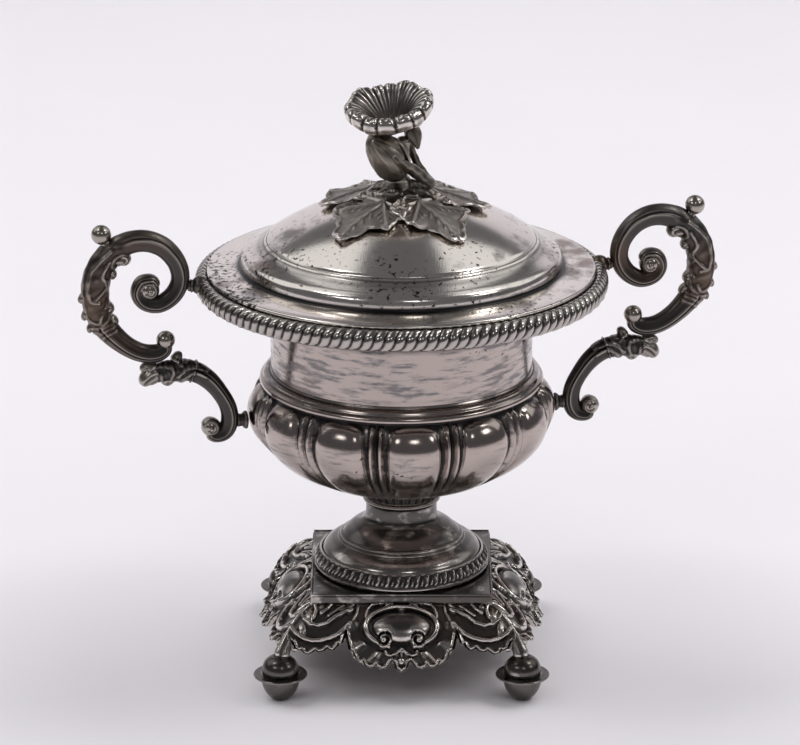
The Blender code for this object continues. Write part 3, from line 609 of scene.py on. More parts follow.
def bowl_outline():
    """Closed outline of the bowl's wall: outside down from the mouth, and inside up again."""
    outline = [(44.4, 118.2), (44.6, 118.55), (45.1, 118.55), (45.3, 118.2), (45.3, 113.9),
               (45.0, 113.1)]
    outline += arc((44.3, 107.0), 5.85, 90, 180, 9)
    outline += [(38.35, 104.0), (38.2, 99.0), (38.2, 95.0), (38.2, 92.2), (38.25, 91.0), (38.15, 90.5),
                (38.4, 90.15), (39.2, 90.0), (39.9, 89.75), (40.3, 89.3), (40.4, 88.85), (40.65, 88.5),
                (41.1, 88.2), (41.45, 87.7), (41.55, 87.1), (41.5, 86.7), (41.9, 86.2), (42.7, 85.4),
                (43.3, 84.6)]
    outline += BELLY_CROWN
    outline += [(0.0, 55.7), (14.0, 55.9), (22.0, 57.7), (30.0, 61.0), (36.0, 64.9), (40.0, 68.8),
                (42.5, 72.3), (44.0, 75.6), (44.2, 78.2), (43.6, 81.6), (42.0, 84.8), (39.8, 87.3),
                (38.6, 88.5), (38.9, 89.6), (37.8, 91.2), (37.5, 93.0), (37.3, 99.0), (37.4, 105.0),
                (37.6, 108.0), (39.0, 111.0), (41.5, 113.2), (44.0, 114.4), (44.4, 115.2)]
    return outline


def belly_lobing(away, height, depth, half_period):
    """Inward shift of the belly; away is degrees from the middle of a rib pair."""
    x = np.clip((half_period - away) / (half_period - 4.5), 0.0, 1.0)
    y = np.clip((height - 74.8) / 11.6, 0.0, 1.0)
    cushion = np.sqrt(np.clip(1 - x ** 2.4 - 0.97 * y ** 3.4, 0.0, 1.0))
    ribs = 0.66 * bump(away - 1.8, 0.85) * (1 - smoothstep(84.4, 86.2, height))
    top = np.maximum(cushion, ribs)
    fade = smoothstep(55.3, 66.0, height) * (1 - smoothstep(85.9, 86.8, height))
    return depth * fade * (1 - top)


class SUGARBOWL_OT_raised_bowl(bpy.types.Operator):
    """Raise the bowl: upright mouth, cylinder, shoulder ring and lobed belly, open inside"""
    bl_idname = "sugarbowl.raised_bowl"
    bl_label = "Raised Bowl"

    def execute(self, context):
        sizes = context.scene.sugarbowl_sizes
        mesh = spun("raised_bowl", even(bowl_outline(), 1.3), 42, closed=True, sectors=sizes.lobes)
        radius, height, around = polar(mesh)
        angle = np.degrees(around)
        period = 360.0 / sizes.lobes
        share = (angle / period) % 1.0
        number = np.floor(angle / period)
        warped = np.interp(share, (0.0, 0.27, 0.73, 1.0), (0.0, 5.2 / period, 1 - 5.2 / period, 1.0))
        away = np.minimum(warped, 1 - warped) * period
        around = np.radians((number + warped) * period + 10.0) + TURN
        radius = radius - belly_lobing(away, height, sizes.lobe_depth / MM, period / 2)
        move_polar(mesh, radius, height, around)
        close_up(mesh)
        piece(mesh, ["bowl_shell"], BOWL, "raised silver", depth=0.45, rounds=10)
        return {"FINISHED"}


BORDER_ROLL = 3.3               # radius of the border's rolled edge
BORDER_Z = 116.9                # height of the roll's middle


class SUGARBOWL_OT_mouth_border(bpy.types.Operator):
    """Cast the slanted gadroons round the mouth"""
    bl_idname = "sugarbowl.mouth_border"
    bl_label = "Mouth Border"

    def execute(self, context):
        sizes = context.scene.sugarbowl_sizes
        outer = sizes.border_radius / MM
        outline = [(45.7, 118.3), (53.6, 118.5), (55.6, 119.0), (56.2, 119.5)]
        outline += arc((outer - BORDER_ROLL, BORDER_Z), BORDER_ROLL, 78, -58, 14)
        outline += [(58.0, 113.9), (57.3, 113.55), (56.4, 113.6), (55.6, 114.2), (54.6, 115.6),
                    (53.6, 116.5), (45.7, 116.7)]
        mesh = spun("gadroon_border", even(outline, 1.2), 11, closed=True, sectors=sizes.gadroons)
        radius, height, around = polar(mesh)
        lean = np.degrees(np.arctan2(height - BORDER_Z, radius - (outer - BORDER_ROLL)))
        down = np.clip((80.0 - lean) / 138.0, 0.0, 1.0)
        rolled = (radius > outer - BORDER_ROLL - 0.1) & (height > 114.0)
        slope = 1.15 * down + 0.10 * np.sin(2 * pi * down)
        phase = sizes.gadroons * around / (2 * pi) + slope
        ridge = np.abs(np.sin(pi * phase)) ** 0.55
        every_other = bump((phase % 2.0) - 0.5, 0.30) * bump(down - 0.86, 0.12)
        envelope = np.sin(pi * np.clip(down, 0.02, 0.98)) ** 0.4
        shift = (ridge - 1.0) * envelope * sizes.gadroon_depth / MM + 0.25 * every_other
        shift = np.where(rolled, shift, 0.0)
        move_polar(mesh, radius + shift * np.cos(np.radians(lean)),
                   height + shift * np.sin(np.radians(lean)), around)
        piece(mesh, ["rim_border"], BOWL, "border silver", depth=0.22, rounds=10)
        return {"FINISHED"}


# ---------------------------------------------------------------- handles

def near_line(x, y, points):
    """Distance from each (x, y) to a polyline."""
    best = np.full(x.shape, 1e9)
    for (ax, ay), (bx, by) in zip(points, points[1:]):
        dx, dy = bx - ax, by - ay
        t = np.clip(((x - ax) * dx + (y - ay) * dy) / (dx * dx + dy * dy), 0.0, 1.0)
        best = np.minimum(best, np.hypot(x - ax - t * dx, y - ay - t * dy))
    return best


def curl(centre, radius, start, turns, hand=1.0, steps=26):
    """A spiral line that winds in to its centre."""
    line = []
    for i in range(steps + 1):
        share = i / steps
        angle = radians(start) + hand * 2 * pi * turns * share
        r = radius * (1 - 0.8 * share)
        line.append((centre[0] + r * cos(angle), centre[1] + r * sin(angle)))
    return line


def rope(distance, width, height):
    """Rounded ridge along a line."""
    return height * np.sqrt(np.clip(1 - (distance / width) ** 2, 0.0, 1.0))


VEIN_WIDTH = 0.65
VEIN_HEIGHT = 0.5
UPPER_ROUTE = [
    # out, height, half width, half thickness
    (71.6, 118.0, 1.5, 2.0), (72.9, 120.3, 1.9, 2.5), (75.9, 119.9, 2.1, 2.7), (77.0, 116.8, 2.2, 2.6),
    (75.0, 113.9, 2.4, 2.6), (70.9, 113.2, 2.6, 2.6), (66.8, 115.8, 2.7, 2.6), (64.7, 120.4, 2.7, 2.6),
    (65.7, 125.6, 2.8, 2.7), (69.4, 130.2, 3.0, 2.8), (74.6, 132.4, 3.2, 2.9), (80.2, 131.8, 3.4, 3.0),
    (85.2, 128.6, 3.8, 3.2), (88.2, 123.4, 4.1, 3.3), (89.4, 117.4, 4.1, 3.3), (88.6, 111.6, 3.9, 3.2),
    (86.0, 106.4, 3.5, 3.0), (81.6, 101.8, 3.0, 2.9), (76.8, 98.9, 2.8, 2.7), (72.4, 98.3, 2.7, 2.5),
    (69.6, 99.6, 2.3, 2.3), (69.6, 102.0, 1.4, 1.9)]
LOWER_ROUTE = [
    (74.0, 91.8, 1.9, 1.9), (70.4, 92.4, 3.1, 2.6), (65.6, 92.8, 3.3, 2.8), (60.9, 92.0, 3.1, 2.7),
    (56.8, 89.2, 2.8, 2.6), (53.5, 85.0, 2.5, 2.5), (51.3, 80.6, 2.5, 2.4), (50.9, 76.4, 2.6, 2.4),
    (52.3, 73.2, 2.5, 2.4), (55.2, 72.2, 2.2, 2.3), (57.4, 73.6, 1.7, 2.0)]
# Leaf tips and curls: out, height, half width, half thickness
UPPER_TIPS = [
    [(85.8, 126.4, 2.0, 2.6), (83.4, 127.9, 2.5, 2.8), (81.0, 127.4, 2.5, 2.6),
     (79.7, 125.6, 1.7, 2.0)],
    [(87.4, 123.6, 1.8, 2.6), (84.9, 123.2, 1.9, 2.4), (83.6, 121.6, 1.3, 1.8)],
    [(87.4, 114.6, 1.7, 2.6), (85.4, 112.9, 1.6, 2.2), (84.9, 111.2, 1.0, 1.5)],
    [(86.2, 110.4, 1.7, 2.6), (84.2, 109.0, 1.5, 2.1), (83.2, 107.6, 0.9, 1.4)],
    [(90.6, 117.8, 1.5, 2.6), (93.0, 116.2, 1.2, 1.9), (94.0, 114.8, 0.7, 1.2)],
    [(90.4, 113.2, 1.4, 2.4), (92.3, 111.0, 1.2, 1.8), (92.8, 109.4, 0.7, 1.1)],
    [(88.8, 109.2, 1.4, 2.4), (90.8, 107.2, 1.2, 1.8), (91.4, 105.6, 0.7, 1.1)],
    [(84.2, 130.2, 1.9, 2.3), (85.9, 132.2, 1.5, 1.9), (87.0, 133.8, 1.3, 1.5)],
]
LOWER_TIPS = [
    [(70.0, 93.2, 2.8, 2.7), (73.2, 91.9, 2.9, 2.5), (75.2, 90.2, 2.4, 2.2),
     (76.0, 88.4, 1.6, 1.6)],
    [(67.4, 92.6, 2.5, 2.8), (68.8, 90.6, 2.5, 2.6), (69.2, 88.2, 1.9, 2.1)],
    [(71.6, 94.4, 1.6, 2.2), (74.6, 94.5, 1.5, 2.0), (76.9, 93.4, 1.0, 1.4)],
    [(63.6, 92.4, 1.8, 2.4), (64.9, 90.4, 1.6, 2.0), (65.9, 89.3, 1.0, 1.4)],
    [(67.0, 94.8, 1.8, 2.4), (65.9, 96.9, 1.5, 2.0), (64.8, 98.4, 1.0, 1.4)],
]
# Raised lines of the acanthus on both faces of a handle: out, height
UPPER_VEINS = [
    [(84.9, 130.6), (87.7, 128.2), (90.6, 124.8), (91.7, 120.6), (91.1, 116.3), (88.5, 115.4)],
    [(85.3, 127.4), (87.3, 123.5), (86.1, 120.1), (89.3, 116.7), (90.9, 115.9)],
    [(93.0, 122.5), (93.4, 118.6), (92.9, 113.8), (91.8, 110.3), (88.9, 109.1), (87.9, 111.2)],
    [(92.5, 125.0), (93.6, 120.5)],
    [(81.4, 125.6), (79.9, 127.4), (81.2, 129.2), (83.6, 128.4), (84.4, 126.2), (82.9, 125.0)],
    [(88.6, 102.7), (86.9, 105.2), (83.7, 106.5)], [(89.5, 104.0), (87.4, 106.3), (84.2, 107.8)],
    [(87.7, 108.7), (85.8, 110.3), (85.4, 112.8)], [(90.4, 107.4), (88.0, 107.9), (86.2, 108.8)],
    [(86.6, 118.6), (85.2, 116.6), (86.4, 113.9)]]
LOWER_VEINS = [
    [(74.2, 94.2), (70.8, 95.0), (67.6, 94.2), (68.0, 90.9), (70.4, 90.3), (71.0, 92.3)],
    [(64.3, 95.9), (60.4, 96.0), (57.2, 92.9)], [(66.0, 91.6), (62.8, 94.2), (58.6, 93.4)],
    [(64.4, 90.6), (61.5, 92.4), (57.8, 91.0)], [(76.4, 90.0), (74.4, 92.2), (72.2, 92.9)],
    [(69.6, 97.0), (66.8, 96.5), (64.9, 95.0)]]


def scroll_section(leaf_from, leaf_to, side):
    """Back band, bright bead and shallow face of a cast scroll, with a swelling under the leaf."""
    def section(s, phi):
        x = np.cos(phi) * side
        on = smoothstep(leaf_from - 0.03, leaf_from + 0.03, s) * (
            1 - smoothstep(leaf_to - 0.012, leaf_to, s))
        band = 0.20 * bump(x - 0.40, 0.09) + 0.13 * bump(x + 0.30, 0.34)
        bead = 0.26 * bump(x - 0.27, 0.07)
        collar = 0.5 * bump(s - leaf_to - 0.004, 0.006) * (1 if leaf_to < 1 else 0)
        crumple = 0.12 * on * np.sin(3.0 * phi + 70.0 * s) * np.sin(110.0 * s)
        return (1.0 + 0.0 * x, 1 - band * (1 - on) + 0.06 * on,
                bead * (1 - on) + collar + crumple)
    return section


def tip_section(s, phi):
    """A leaf tip with a midrib groove on both faces."""
    x = np.cos(phi)
    return 1.0 + 0.0 * x, 1 - 0.18 * bump(x, 0.2) - 0.08 * bump(np.abs(x) - 0.62, 0.14), 0.0 * x


def rolled_end(out, height, radius, hand):
    """A rolled scroll end: a boss with a spiral ridge and an eye on both faces."""
    parts = [ball((out, 0.0, height), radius)]
    for face in (-1, 1):
        line = []
        for i in range(31):
            share = i / 30
            angle = hand * 2 * pi * 0.95 * share
            r = radius * (0.80 - 0.42 * share)
            line.append((out + r * cos(angle), face * sqrt(radius ** 2 - r ** 2), height + r * sin(angle),
                         0.40, 0.40))
        parts.append(swept("spiral", line, 70, 12))
        parts.append(ball((out, face * radius * 0.93, height), radius * 0.26, segments=16))
    return parts


def handle_bar(points, tips, balls, ends, veins, section, steps):
    """A scroll handle: its bar and leaf tips with raised veins, its balls and its rolled ends."""
    parts = [swept("bar", [(out, 0.0, z, w, t) for out, z, w, t in points], steps, 88, section=section,
                   blunt=0.9)]
    for tip in tips:
        parts.append(swept("tip", [(out, 0.0, z, w, t) for out, z, w, t in tip], 36, 32,
                           section=tip_section, blunt=1.1))
    for mesh in parts:
        flat = vertices_of(mesh) / MM
        lift = np.zeros(len(flat))
        for line in veins:
            smooth = route_through(line, 8)[0]
            away = near_line(flat[:, 0], flat[:, 2], [tuple(p) for p in smooth])
            lift = np.maximum(lift, rope(away, VEIN_WIDTH, VEIN_HEIGHT))
        flat[:, 1] += np.clip(flat[:, 1], -1, 1) * lift
        move_vertices(mesh, flat * MM)
    for out, z, radius in balls:
        parts.append(ball((out, 0.0, z), radius))
    for out, z, radius, hand in ends:
        parts += rolled_end(out, z, radius, hand)
    return joined("handle_bar", parts)


def knob_outline():
    """Rim knob: ball, ring and a neck, along +Z of its own."""
    outline = [(0.0, -2.7)] + arc((0.0, 0.0), 2.75, -80, 48, 12)
    outline += [(1.6, 2.2), (1.95, 2.4), (1.95, 2.8), (1.6, 3.0), (1.6, 3.4), (1.3, 3.8), (0.0, 3.8)]
    return outline


class SUGARBOWL_OT_handles(bpy.types.Operator):
    """Cast the scroll handles with their knobs and pads"""
    bl_idname = "sugarbowl.handles"
    bl_label = "Handles"

    def execute(self, context):
        upper = handle_bar(UPPER_ROUTE, UPPER_TIPS, [(87.2, 134.9, 2.9), (69.2, 102.2, 2.75)],
                           [(73.8, 117.7, 3.1, 1)], UPPER_VEINS, scroll_section(0.49, 0.765, 1), 400)
        lower = handle_bar(LOWER_ROUTE, LOWER_TIPS, [], [(56.4, 74.9, 2.9, 1)], LOWER_VEINS,
                           scroll_section(-0.02, 0.30, -1), 230)
        quarter = Matrix.Rotation(pi / 2, 4, "Y")
        knob = spun("knob", chaikin(knob_outline(), 1), 40)
        knob.transform(Matrix.Translation((58.9 * MM, 0, 118.2 * MM)) @ quarter)
        pad = spun("pad", chaikin([(0.0, 3.1), (2.1, 3.1), (1.9, 2.4), (1.8, 1.7), (2.3, 1.3), (2.7, 0.8),
                                   (2.7, 0.3), (2.2, 0.0), (0.0, -0.4)], 2), 36)
        pad.transform(Matrix.Translation((45.6 * MM, 0, 76.4 * MM)) @ quarter)
        for side, turn in SIDES.items():
            for label, mesh, rounds in (("upper_scroll", upper, 22), ("lower_scroll", lower, 22),
                                        ("rim_knob", knob, 6), ("belly_joint", pad, 6)):
                made = turned_copy(f"cast_{label}_{side}", mesh, turn + TURN)
                piece(made, [f"{label}_{side}"], BOWL, "handle silver", depth=0.35, rounds=rounds)
        for mesh in (upper, lower, knob, pad):
            bpy.data.meshes.remove(mesh)
        return {"FINISHED"}


# ---------------------------------------------------------------- foot

SHEET = 0.9                     # wall of the plinth and the aprons
COLLAR_LEAVES = 36
BORDER_BEADS = 54
PEDESTAL_OUTLINE = [
    (1.8, 50.3), (10.6, 50.3), (11.3, 50.0), (11.5, 49.6), (11.3, 49.2), (10.7, 48.9), (10.5, 48.2),
    (10.45, 46.5), (10.55, 45.0), (10.9, 43.8), (11.8, 42.9), (13.2, 42.2), (14.8, 41.3), (16.1, 40.2),
    (16.9, 39.4), (17.3, 38.9), (17.9, 38.7), (18.2, 38.35), (18.1, 38.0), (18.6, 37.8), (18.9, 37.5),
    (18.8, 37.2), (19.6, 36.9), (20.9, 36.4), (22.1, 35.6), (22.9, 34.7), (23.3, 34.0), (23.4, 33.0),
    (23.4, 29.2), (22.5, 29.2), (22.5, 33.2), (21.4, 35.0), (18.0, 36.8), (13.4, 39.8), (10.4, 42.4),
    (9.6, 45.4), (9.6, 49.4), (1.8, 49.4)]


class SUGARBOWL_OT_foot(bpy.types.Operator):
    """Spin the pedestal, and cast its collar, its leaf-and-bead border and the square plinth"""
    bl_idname = "sugarbowl.foot"
    bl_label = "Foot"

    def execute(self, context):
        outline = even(chaikin(PEDESTAL_OUTLINE, 1), 0.9)
        piece(spun("spun_pedestal", outline, 20, closed=True, sectors=8), ["pedestal"], BOWL,
              "foot silver", depth=0.5, rounds=8)
        self.collar()
        self.border()
        self.stand()
        return {"FINISHED"}

    def collar(self):
        """Ring of small upright leaves under the bowl."""
        outline = [(4.0, 54.5), (14.2, 54.5), (14.4, 54.2), (14.2, 53.8), (13.7, 53.3), (13.2, 52.8),
                   (12.8, 52.3), (12.4, 51.8), (12.1, 51.3), (11.9, 50.9), (11.7, 50.6), (4.0, 50.6)]
        mesh = spun("leaf_collar", even(chaikin(outline, 1), 1.2), 12, closed=True,
                    sectors=COLLAR_LEAVES)
        radius, height, around = polar(mesh)
        phase = np.abs((COLLAR_LEAVES * around / (2 * pi)) % 1.0 - 0.5) * 2
        t = np.clip((height - 50.6) / 3.8, 0, 1)
        leaf = (1 - phase ** 1.6) * (0.35 + 0.65 * np.sin(pi * (0.15 + 0.75 * (1 - t))))
        shift = 0.85 * (leaf - 0.25 * bump(phase, 0.12) - 0.75)
        move_polar(mesh, radius + np.where(radius > 9.0, shift, 0.0), height, around)
        piece(mesh, ["pedestal_collar"], BOWL, "cast silver", depth=0.2, rounds=10)

    def border(self):
        """Slanted leaves with a bead between each two, round the pedestal's edge."""
        outline = [(23.6, 34.0), (23.9, 34.2), (24.2, 34.0), (24.3, 33.6), (24.7, 33.1), (25.0, 32.6),
                   (25.2, 32.1), (25.4, 31.6), (25.5, 31.1), (25.55, 30.6), (25.5, 30.2), (25.75, 30.0),
                   (25.8, 29.6), (25.8, 29.2), (23.6, 29.2)]
        mesh = spun("bead_border", even(chaikin(outline, 1), 1.2), 14, closed=True,
                    sectors=BORDER_BEADS)
        radius, height, around = polar(mesh)
        down = np.clip((33.8 - height) / 3.5, 0, 1)
        phase = (BORDER_BEADS * around / (2 * pi) + 0.35 * down) % 1.0
        leaf = np.abs(np.cos(pi * (phase - 0.32))) ** 1.3
        bead = bump(phase - 0.84, 0.12) * bump(down - 0.72, 0.22)
        envelope = np.sin(pi * np.clip(down, 0.02, 0.98)) ** 0.6
        shift = envelope * (0.95 * leaf * bump(phase - 0.32, 0.26) + 1.0 * bead - 0.6)
        shift = np.where((radius > 24.3) & (down > 0) & (down < 1), shift, 0.0)
        move_polar(mesh, radius + shift, height, around)
        piece(mesh, ["pedestal_border"], BOWL, "border silver", depth=0.2, rounds=10)

    def stand(self):
        """Square plinth: a shallow tray turned over, with a rolled upper edge."""
        low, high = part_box("plinth")
        bm = bmesh.new()
        bmesh.ops.create_cube(bm, size=1.0)
        bmesh.ops.scale(bm, verts=bm.verts, vec=high - low)
        bmesh.ops.translate(bm, verts=bm.verts, vec=(low + high) / 2)
        underside = [face for face in bm.faces if face.normal.z < -0.5]
        bmesh.ops.delete(bm, geom=underside, context="FACES_ONLY")
        top = [face for face in bm.faces if face.normal.z > 0.5]
        bmesh.ops.inset_region(bm, faces=top, thickness=0.55 * MM, depth=0.0)
        bmesh.ops.inset_region(bm, faces=top, thickness=0.25 * MM, depth=-0.28 * MM)
        sharp = [edge for edge in bm.edges
                 if len(edge.link_faces) == 2 and edge.calc_face_angle() > 0.4]
        bmesh.ops.bevel(bm, geom=sharp, offset=0.14 * MM, offset_type="OFFSET", segments=3,
                        profile=0.5, affect="EDGES", material=-1, clamp_overlap=True)
        for _ in range(2):
            sides = [edge for edge in bm.edges if edge.calc_length() > 3.0 * MM]
            bmesh.ops.subdivide_edges(bm, edges=sides, cuts=3, use_grid_fill=True)
        bmesh.ops.recalc_face_normals(bm, faces=bm.faces)
        bmesh.ops.solidify(bm, geom=bm.faces, thickness=SHEET * MM)
        piece(mesh_from("square_plinth", bm), ["plinth"], BOWL, "foot silver", depth=1.1, rounds=3)


# ---------------------------------------------------------------- aprons, corner legs and feet

# Lower edge of an apron: distance from the middle, distance down the slope
FRINGE = [(0.0, 21.5), (1.2, 20.7), (1.9, 18.9), (2.8, 18.2), (3.4, 18.9), (4.4, 20.2), (5.6, 20.6),
          (6.8, 20.0), (7.4, 19.2), (8.0, 20.0), (9.2, 20.3), (10.4, 19.6), (11.0, 18.3), (11.8, 18.8),
          (12.9, 18.0), (13.5, 16.6), (13.9, 15.6), (14.7, 15.2), (15.2, 13.0), (15.6, 11.0),
          (15.9, 9.6), (16.4, 9.8), (16.8, 11.4), (17.6, 13.4), (18.4, 13.1), (18.9, 14.2), (20.0, 15.2),
          (21.0, 14.9), (21.6, 14.3), (22.6, 15.3), (24.0, 15.7), (25.0, 15.0), (25.8, 15.6),
          (27.0, 16.4), (28.2, 16.0), (28.9, 14.9), (29.6, 15.2), (30.6, 14.6), (31.4, 12.8),
          (32.4, 11.8), (34.0, 11.2)]
APRON_HALF = 33.2
# Slope of the apron's sheet, and how far out and how high it is, at distances down it
SLOPE = np.radians(28.0 + 30.0 * np.linspace(0.0, 1.15, 60))
SLOPE_AT = np.linspace(0.0, 23.0, 60)
SLOPE_OUT = 25.7 + np.concatenate([[0.0], np.cumsum(np.cos(SLOPE[1:]) * np.diff(SLOPE_AT))])
SLOPE_DROP = 25.3 - np.concatenate([[0.0], np.cumsum(np.sin(SLOPE[1:]) * np.diff(SLOPE_AT))])


# Raised lines on the right half of an apron: distances from the middle and down the slope
SWAG_TOP = [(14.4, 2.3), (16.4, 3.1), (19.2, 4.6), (21.6, 6.8), (24.3, 7.6), (26.6, 7.0), (28.4, 5.4),
            (29.2, 3.6)]
SWAG_FOOT = [(14.8, 6.8), (16.4, 8.5), (18.4, 10.4), (20.9, 11.6), (23.4, 12.3), (25.9, 12.4),
             (28.6, 11.6), (30.8, 9.9), (32.2, 7.4)]
SWAG_LINES = ((SWAG_TOP, 0.75, 1.35), (SWAG_FOOT, 0.85, 1.5),
              ([(16.2, 9.6), (14.2, 6.0), (12.9, 3.2), (12.6, 1.0)], 0.55, 0.7))
LEAF_LINES = (([(17.0, 1.0), (19.0, 2.6), (21.2, 4.4)], 0.7, 1.2),
              ([(20.4, 0.4), (21.6, 2.0), (23.4, 3.4)], 0.7, 1.3),
              ([(25.2, 0.6), (24.8, 2.4), (25.4, 4.6)], 0.8, 1.3),
              ([(14.0, 0.5), (15.4, 1.6), (17.8, 2.4)], 0.6, 1.1),
              ([(28.0, 2.6), (27.2, 4.0), (25.6, 5.2)], 0.6, 1.1))
ARCH = [(10.4, 5.2), (9.9, 2.6), (8.6, 0.9), (6.6, 0.2), (4.9, 0.0)] + curl(
    (3.8, 1.4), 1.6, -60, 1.2, hand=-1.0)
PALM_LINES = (([(0.0, 14.9), (1.4, 16.2), (3.0, 16.9), (4.4, 16.5), (4.6, 15.6)], 0.5, 1.3),
              ([(0.0, 15.0), (0.0, 18.0)], 0.45, 1.1))
CURL_EYE = (4.9, 12.2)


def add_lines(height, m, d, lines, sunk=0.0):
    """Raise a relief along lines of (points, half width, height)."""
    for points, width, tall in lines:
        height = np.maximum(height, rope(near_line(m, d, points), width, tall) - sunk)
    return height


def add_bead(height, m, d, centre, spread, tall):
    """Raise a relief in a round bead."""
    away = np.hypot(m - centre[0], d - centre[1])
    return np.maximum(height, tall * np.sqrt(np.clip(1 - away ** 2 / spread, 0, 1)))


def apron_relief(x, d, edge):
    """Height of the cast ornament over the apron's sheet, d down the slope."""
    m = np.abs(x)
    oval = np.hypot(m / 10.4, (d - 8.3) / 6.5)
    cushion = np.hypot(m / 8.75, (d - 8.5) / 4.7)
    # Fluted shell round the oval
    flutes = np.abs(np.cos(6.5 * np.arctan2(d - 7.0, m))) ** 1.2
    shell = (m < 16.0) & (d > 3.5)
    height = np.where(shell, -0.9 + 1.55 * smoothstep(1.0, 1.35, oval) * flutes, -0.7)
    # Hollow swag, and the pleated fringe below it
    top = np.interp(m, *zip(*SWAG_TOP))
    foot = np.interp(m, *zip(*SWAG_FOOT))
    across = (d - top) / np.maximum(foot - top, 0.5)
    swag = (across > 0) & (across < 1) & (m > 14.6)
    height = np.where(swag, 0.5 - 1.3 * np.sin(pi * np.clip(across, 0, 1)) ** 0.8, height)
    fringe = np.abs(np.sin(2.05 * m + 0.25 * d)) ** 0.8
    height = np.where((m > 16.2) & (across >= 1), -1.2 + 0.9 * fringe, height)
    height = add_lines(height, m, d, SWAG_LINES)
    height = add_lines(height, m, d, LEAF_LINES, sunk=0.15)
    height = add_bead(height, m, d, (23.3, 1.6), 1.6, 1.1)
    # Oval cushion in its two rings, open at the bottom
    dome = np.where(cushion < 1, 0.35 + 2.9 * np.sqrt(np.clip(1 - cushion ** 2.2, 0.0, 1.0)), -9)
    height = np.where(oval < 1.0, np.maximum(-0.1 + 0.5 * (1 - oval), dome), height)
    rings = np.maximum(rope(np.abs(oval - 1.0) * 8.0, 0.85, 2.0),
                       rope(np.abs(cushion - 1.04) * 6.0, 0.42, 0.95))
    height = np.where((d > 10.5) & (m < 3.4), height, np.maximum(height, rings))
    # Curls that end the rings, the arch over them and the palm leaf under them
    eye = np.hypot(m - CURL_EYE[0], d - CURL_EYE[1])
    height = np.where(eye < 2.2, 0.5, height)
    height = add_lines(height, m, d, ((curl(CURL_EYE, 2.3, 60, 1.15), 0.55, 1.7),))
    height = np.maximum(height, rope(eye, 0.8, 2.1))
    height = add_lines(height, m, d, ((ARCH, 0.55, 1.6),))
    height = add_bead(height, m, d, (0.0, 2.2), 1.5, 1.4)
    height = add_lines(height, m, d, PALM_LINES)
    height = add_bead(height, m, d, (0.0, 18.6), 1.9, 1.7)
    height = add_lines(height, m, d, (([(0.0, 19.2), (0.0, 21.4)], 0.9, 0.9),))
    lip = 1.25 * bump(edge - d - 0.35, 0.55)
    return height + lip * (m < 32.0) * (1 - 0.6 * (oval < 1.0))


def apron_place(u, v):
    """Point of the front apron; u runs across and v runs up from the fringe."""
    x = (2 * u - 1) * APRON_HALF
    m = np.abs(x)
    edge = np.interp(m, *zip(*FRINGE))
    top = np.interp(m, SLOPE_OUT, SLOPE_AT, left=0.0) * (m > SLOPE_OUT[0])
    d = top + (1 - v) * (np.maximum(edge, top + 1.0) - top)
    h = apron_relief(x, d, edge)
    slope = np.interp(d, SLOPE_AT, SLOPE)
    out = np.interp(d, SLOPE_AT, SLOPE_OUT) + h * np.sin(slope)
    z = np.interp(d, SLOPE_AT, SLOPE_DROP) + h * np.cos(slope)
    return np.stack([x, -out, np.minimum(z, 26.2)], 1)


LEG_ROUTE = [(36.6, 24.9, 0.9, 0.9), (39.2, 23.8, 1.3, 1.3), (42.4, 21.6, 1.6, 1.6), (45.6, 18.6, 1.8, 1.7),
             (48.0, 15.6, 2.1, 1.9), (49.2, 13.4, 2.5, 2.1), (49.6, 11.8, 1.9, 1.6)]
LEG_BLADES = [
    # out along the diagonal, height, sideways, half width, half thickness
    [(38.0, 24.2, 0.6, 0.9, 0.9), (40.2, 23.0, 2.2, 1.2, 0.9), (41.2, 21.2, 3.6, 0.8, 0.7)],
    [(41.4, 22.0, 0.8, 1.0, 0.9), (43.6, 20.2, 2.7, 1.3, 0.9), (44.3, 18.2, 4.0, 0.8, 0.7)],
    [(44.8, 19.0, 0.8, 1.0, 1.0), (46.8, 16.9, 2.8, 1.3, 1.0), (47.6, 14.9, 3.9, 0.9, 0.8)],
]


def leg_section(s, phi):
    """Sharp back and side hollows of the corner rib."""
    x = np.cos(phi)
    up = np.clip(np.sin(phi), 0.0, 1.0)
    return 1.0 + 0.0 * x, 1.0 + 0.0 * x, up * (0.5 * bump(x, 0.22) - 0.3 * bump(np.abs(x) - 0.55, 0.2))


class SUGARBOWL_OT_aprons(bpy.types.Operator):
    """Cast the four rocaille aprons under the plinth"""
    bl_idname = "sugarbowl.aprons"
    bl_label = "Aprons"

    def execute(self, context):
        mesh = thicken(sheet("apron", 330, 100, apron_place), SHEET, towards=(0.0, -0.7, 0.7))
        for side, turn in QUARTERS.items():
            piece(turned_copy(f"cast_apron_{side}", mesh, turn), [f"apron_{side}"], BOWL,
                  "cast silver", depth=0.45, rounds=30)
        bpy.data.meshes.remove(mesh)
        return {"FINISHED"}


class SUGARBOWL_OT_corner_legs(bpy.types.Operator):
    """Cast the acanthus corners that carry the feet"""
    bl_idname = "sugarbowl.corner_legs"
    bl_label = "Corner Legs"

    def execute(self, context):
        level = (0.35, 0.0, 0.94)
        parts = [swept("leg", [(out, 0.0, z, w, t) for out, z, w, t in LEG_ROUTE], 90, 44, across=level,
                       section=leg_section)]
        for blade in LEG_BLADES:
            for hand in (1, -1):
                parts.append(swept("blade", [(out, y * hand, z, w, t) for out, z, y, w, t in blade], 30,
                                   22, across=level, section=tip_section))
        mesh = joined("leg", parts)
        for label, turn in CORNERS.items():
            piece(turned_copy(f"cast_leg_{label}", mesh, turn), [f"corner_leg_{label}"], BOWL,
                  "cast silver", depth=0.35, rounds=10)
        bpy.data.meshes.remove(mesh)
        return {"FINISHED"}


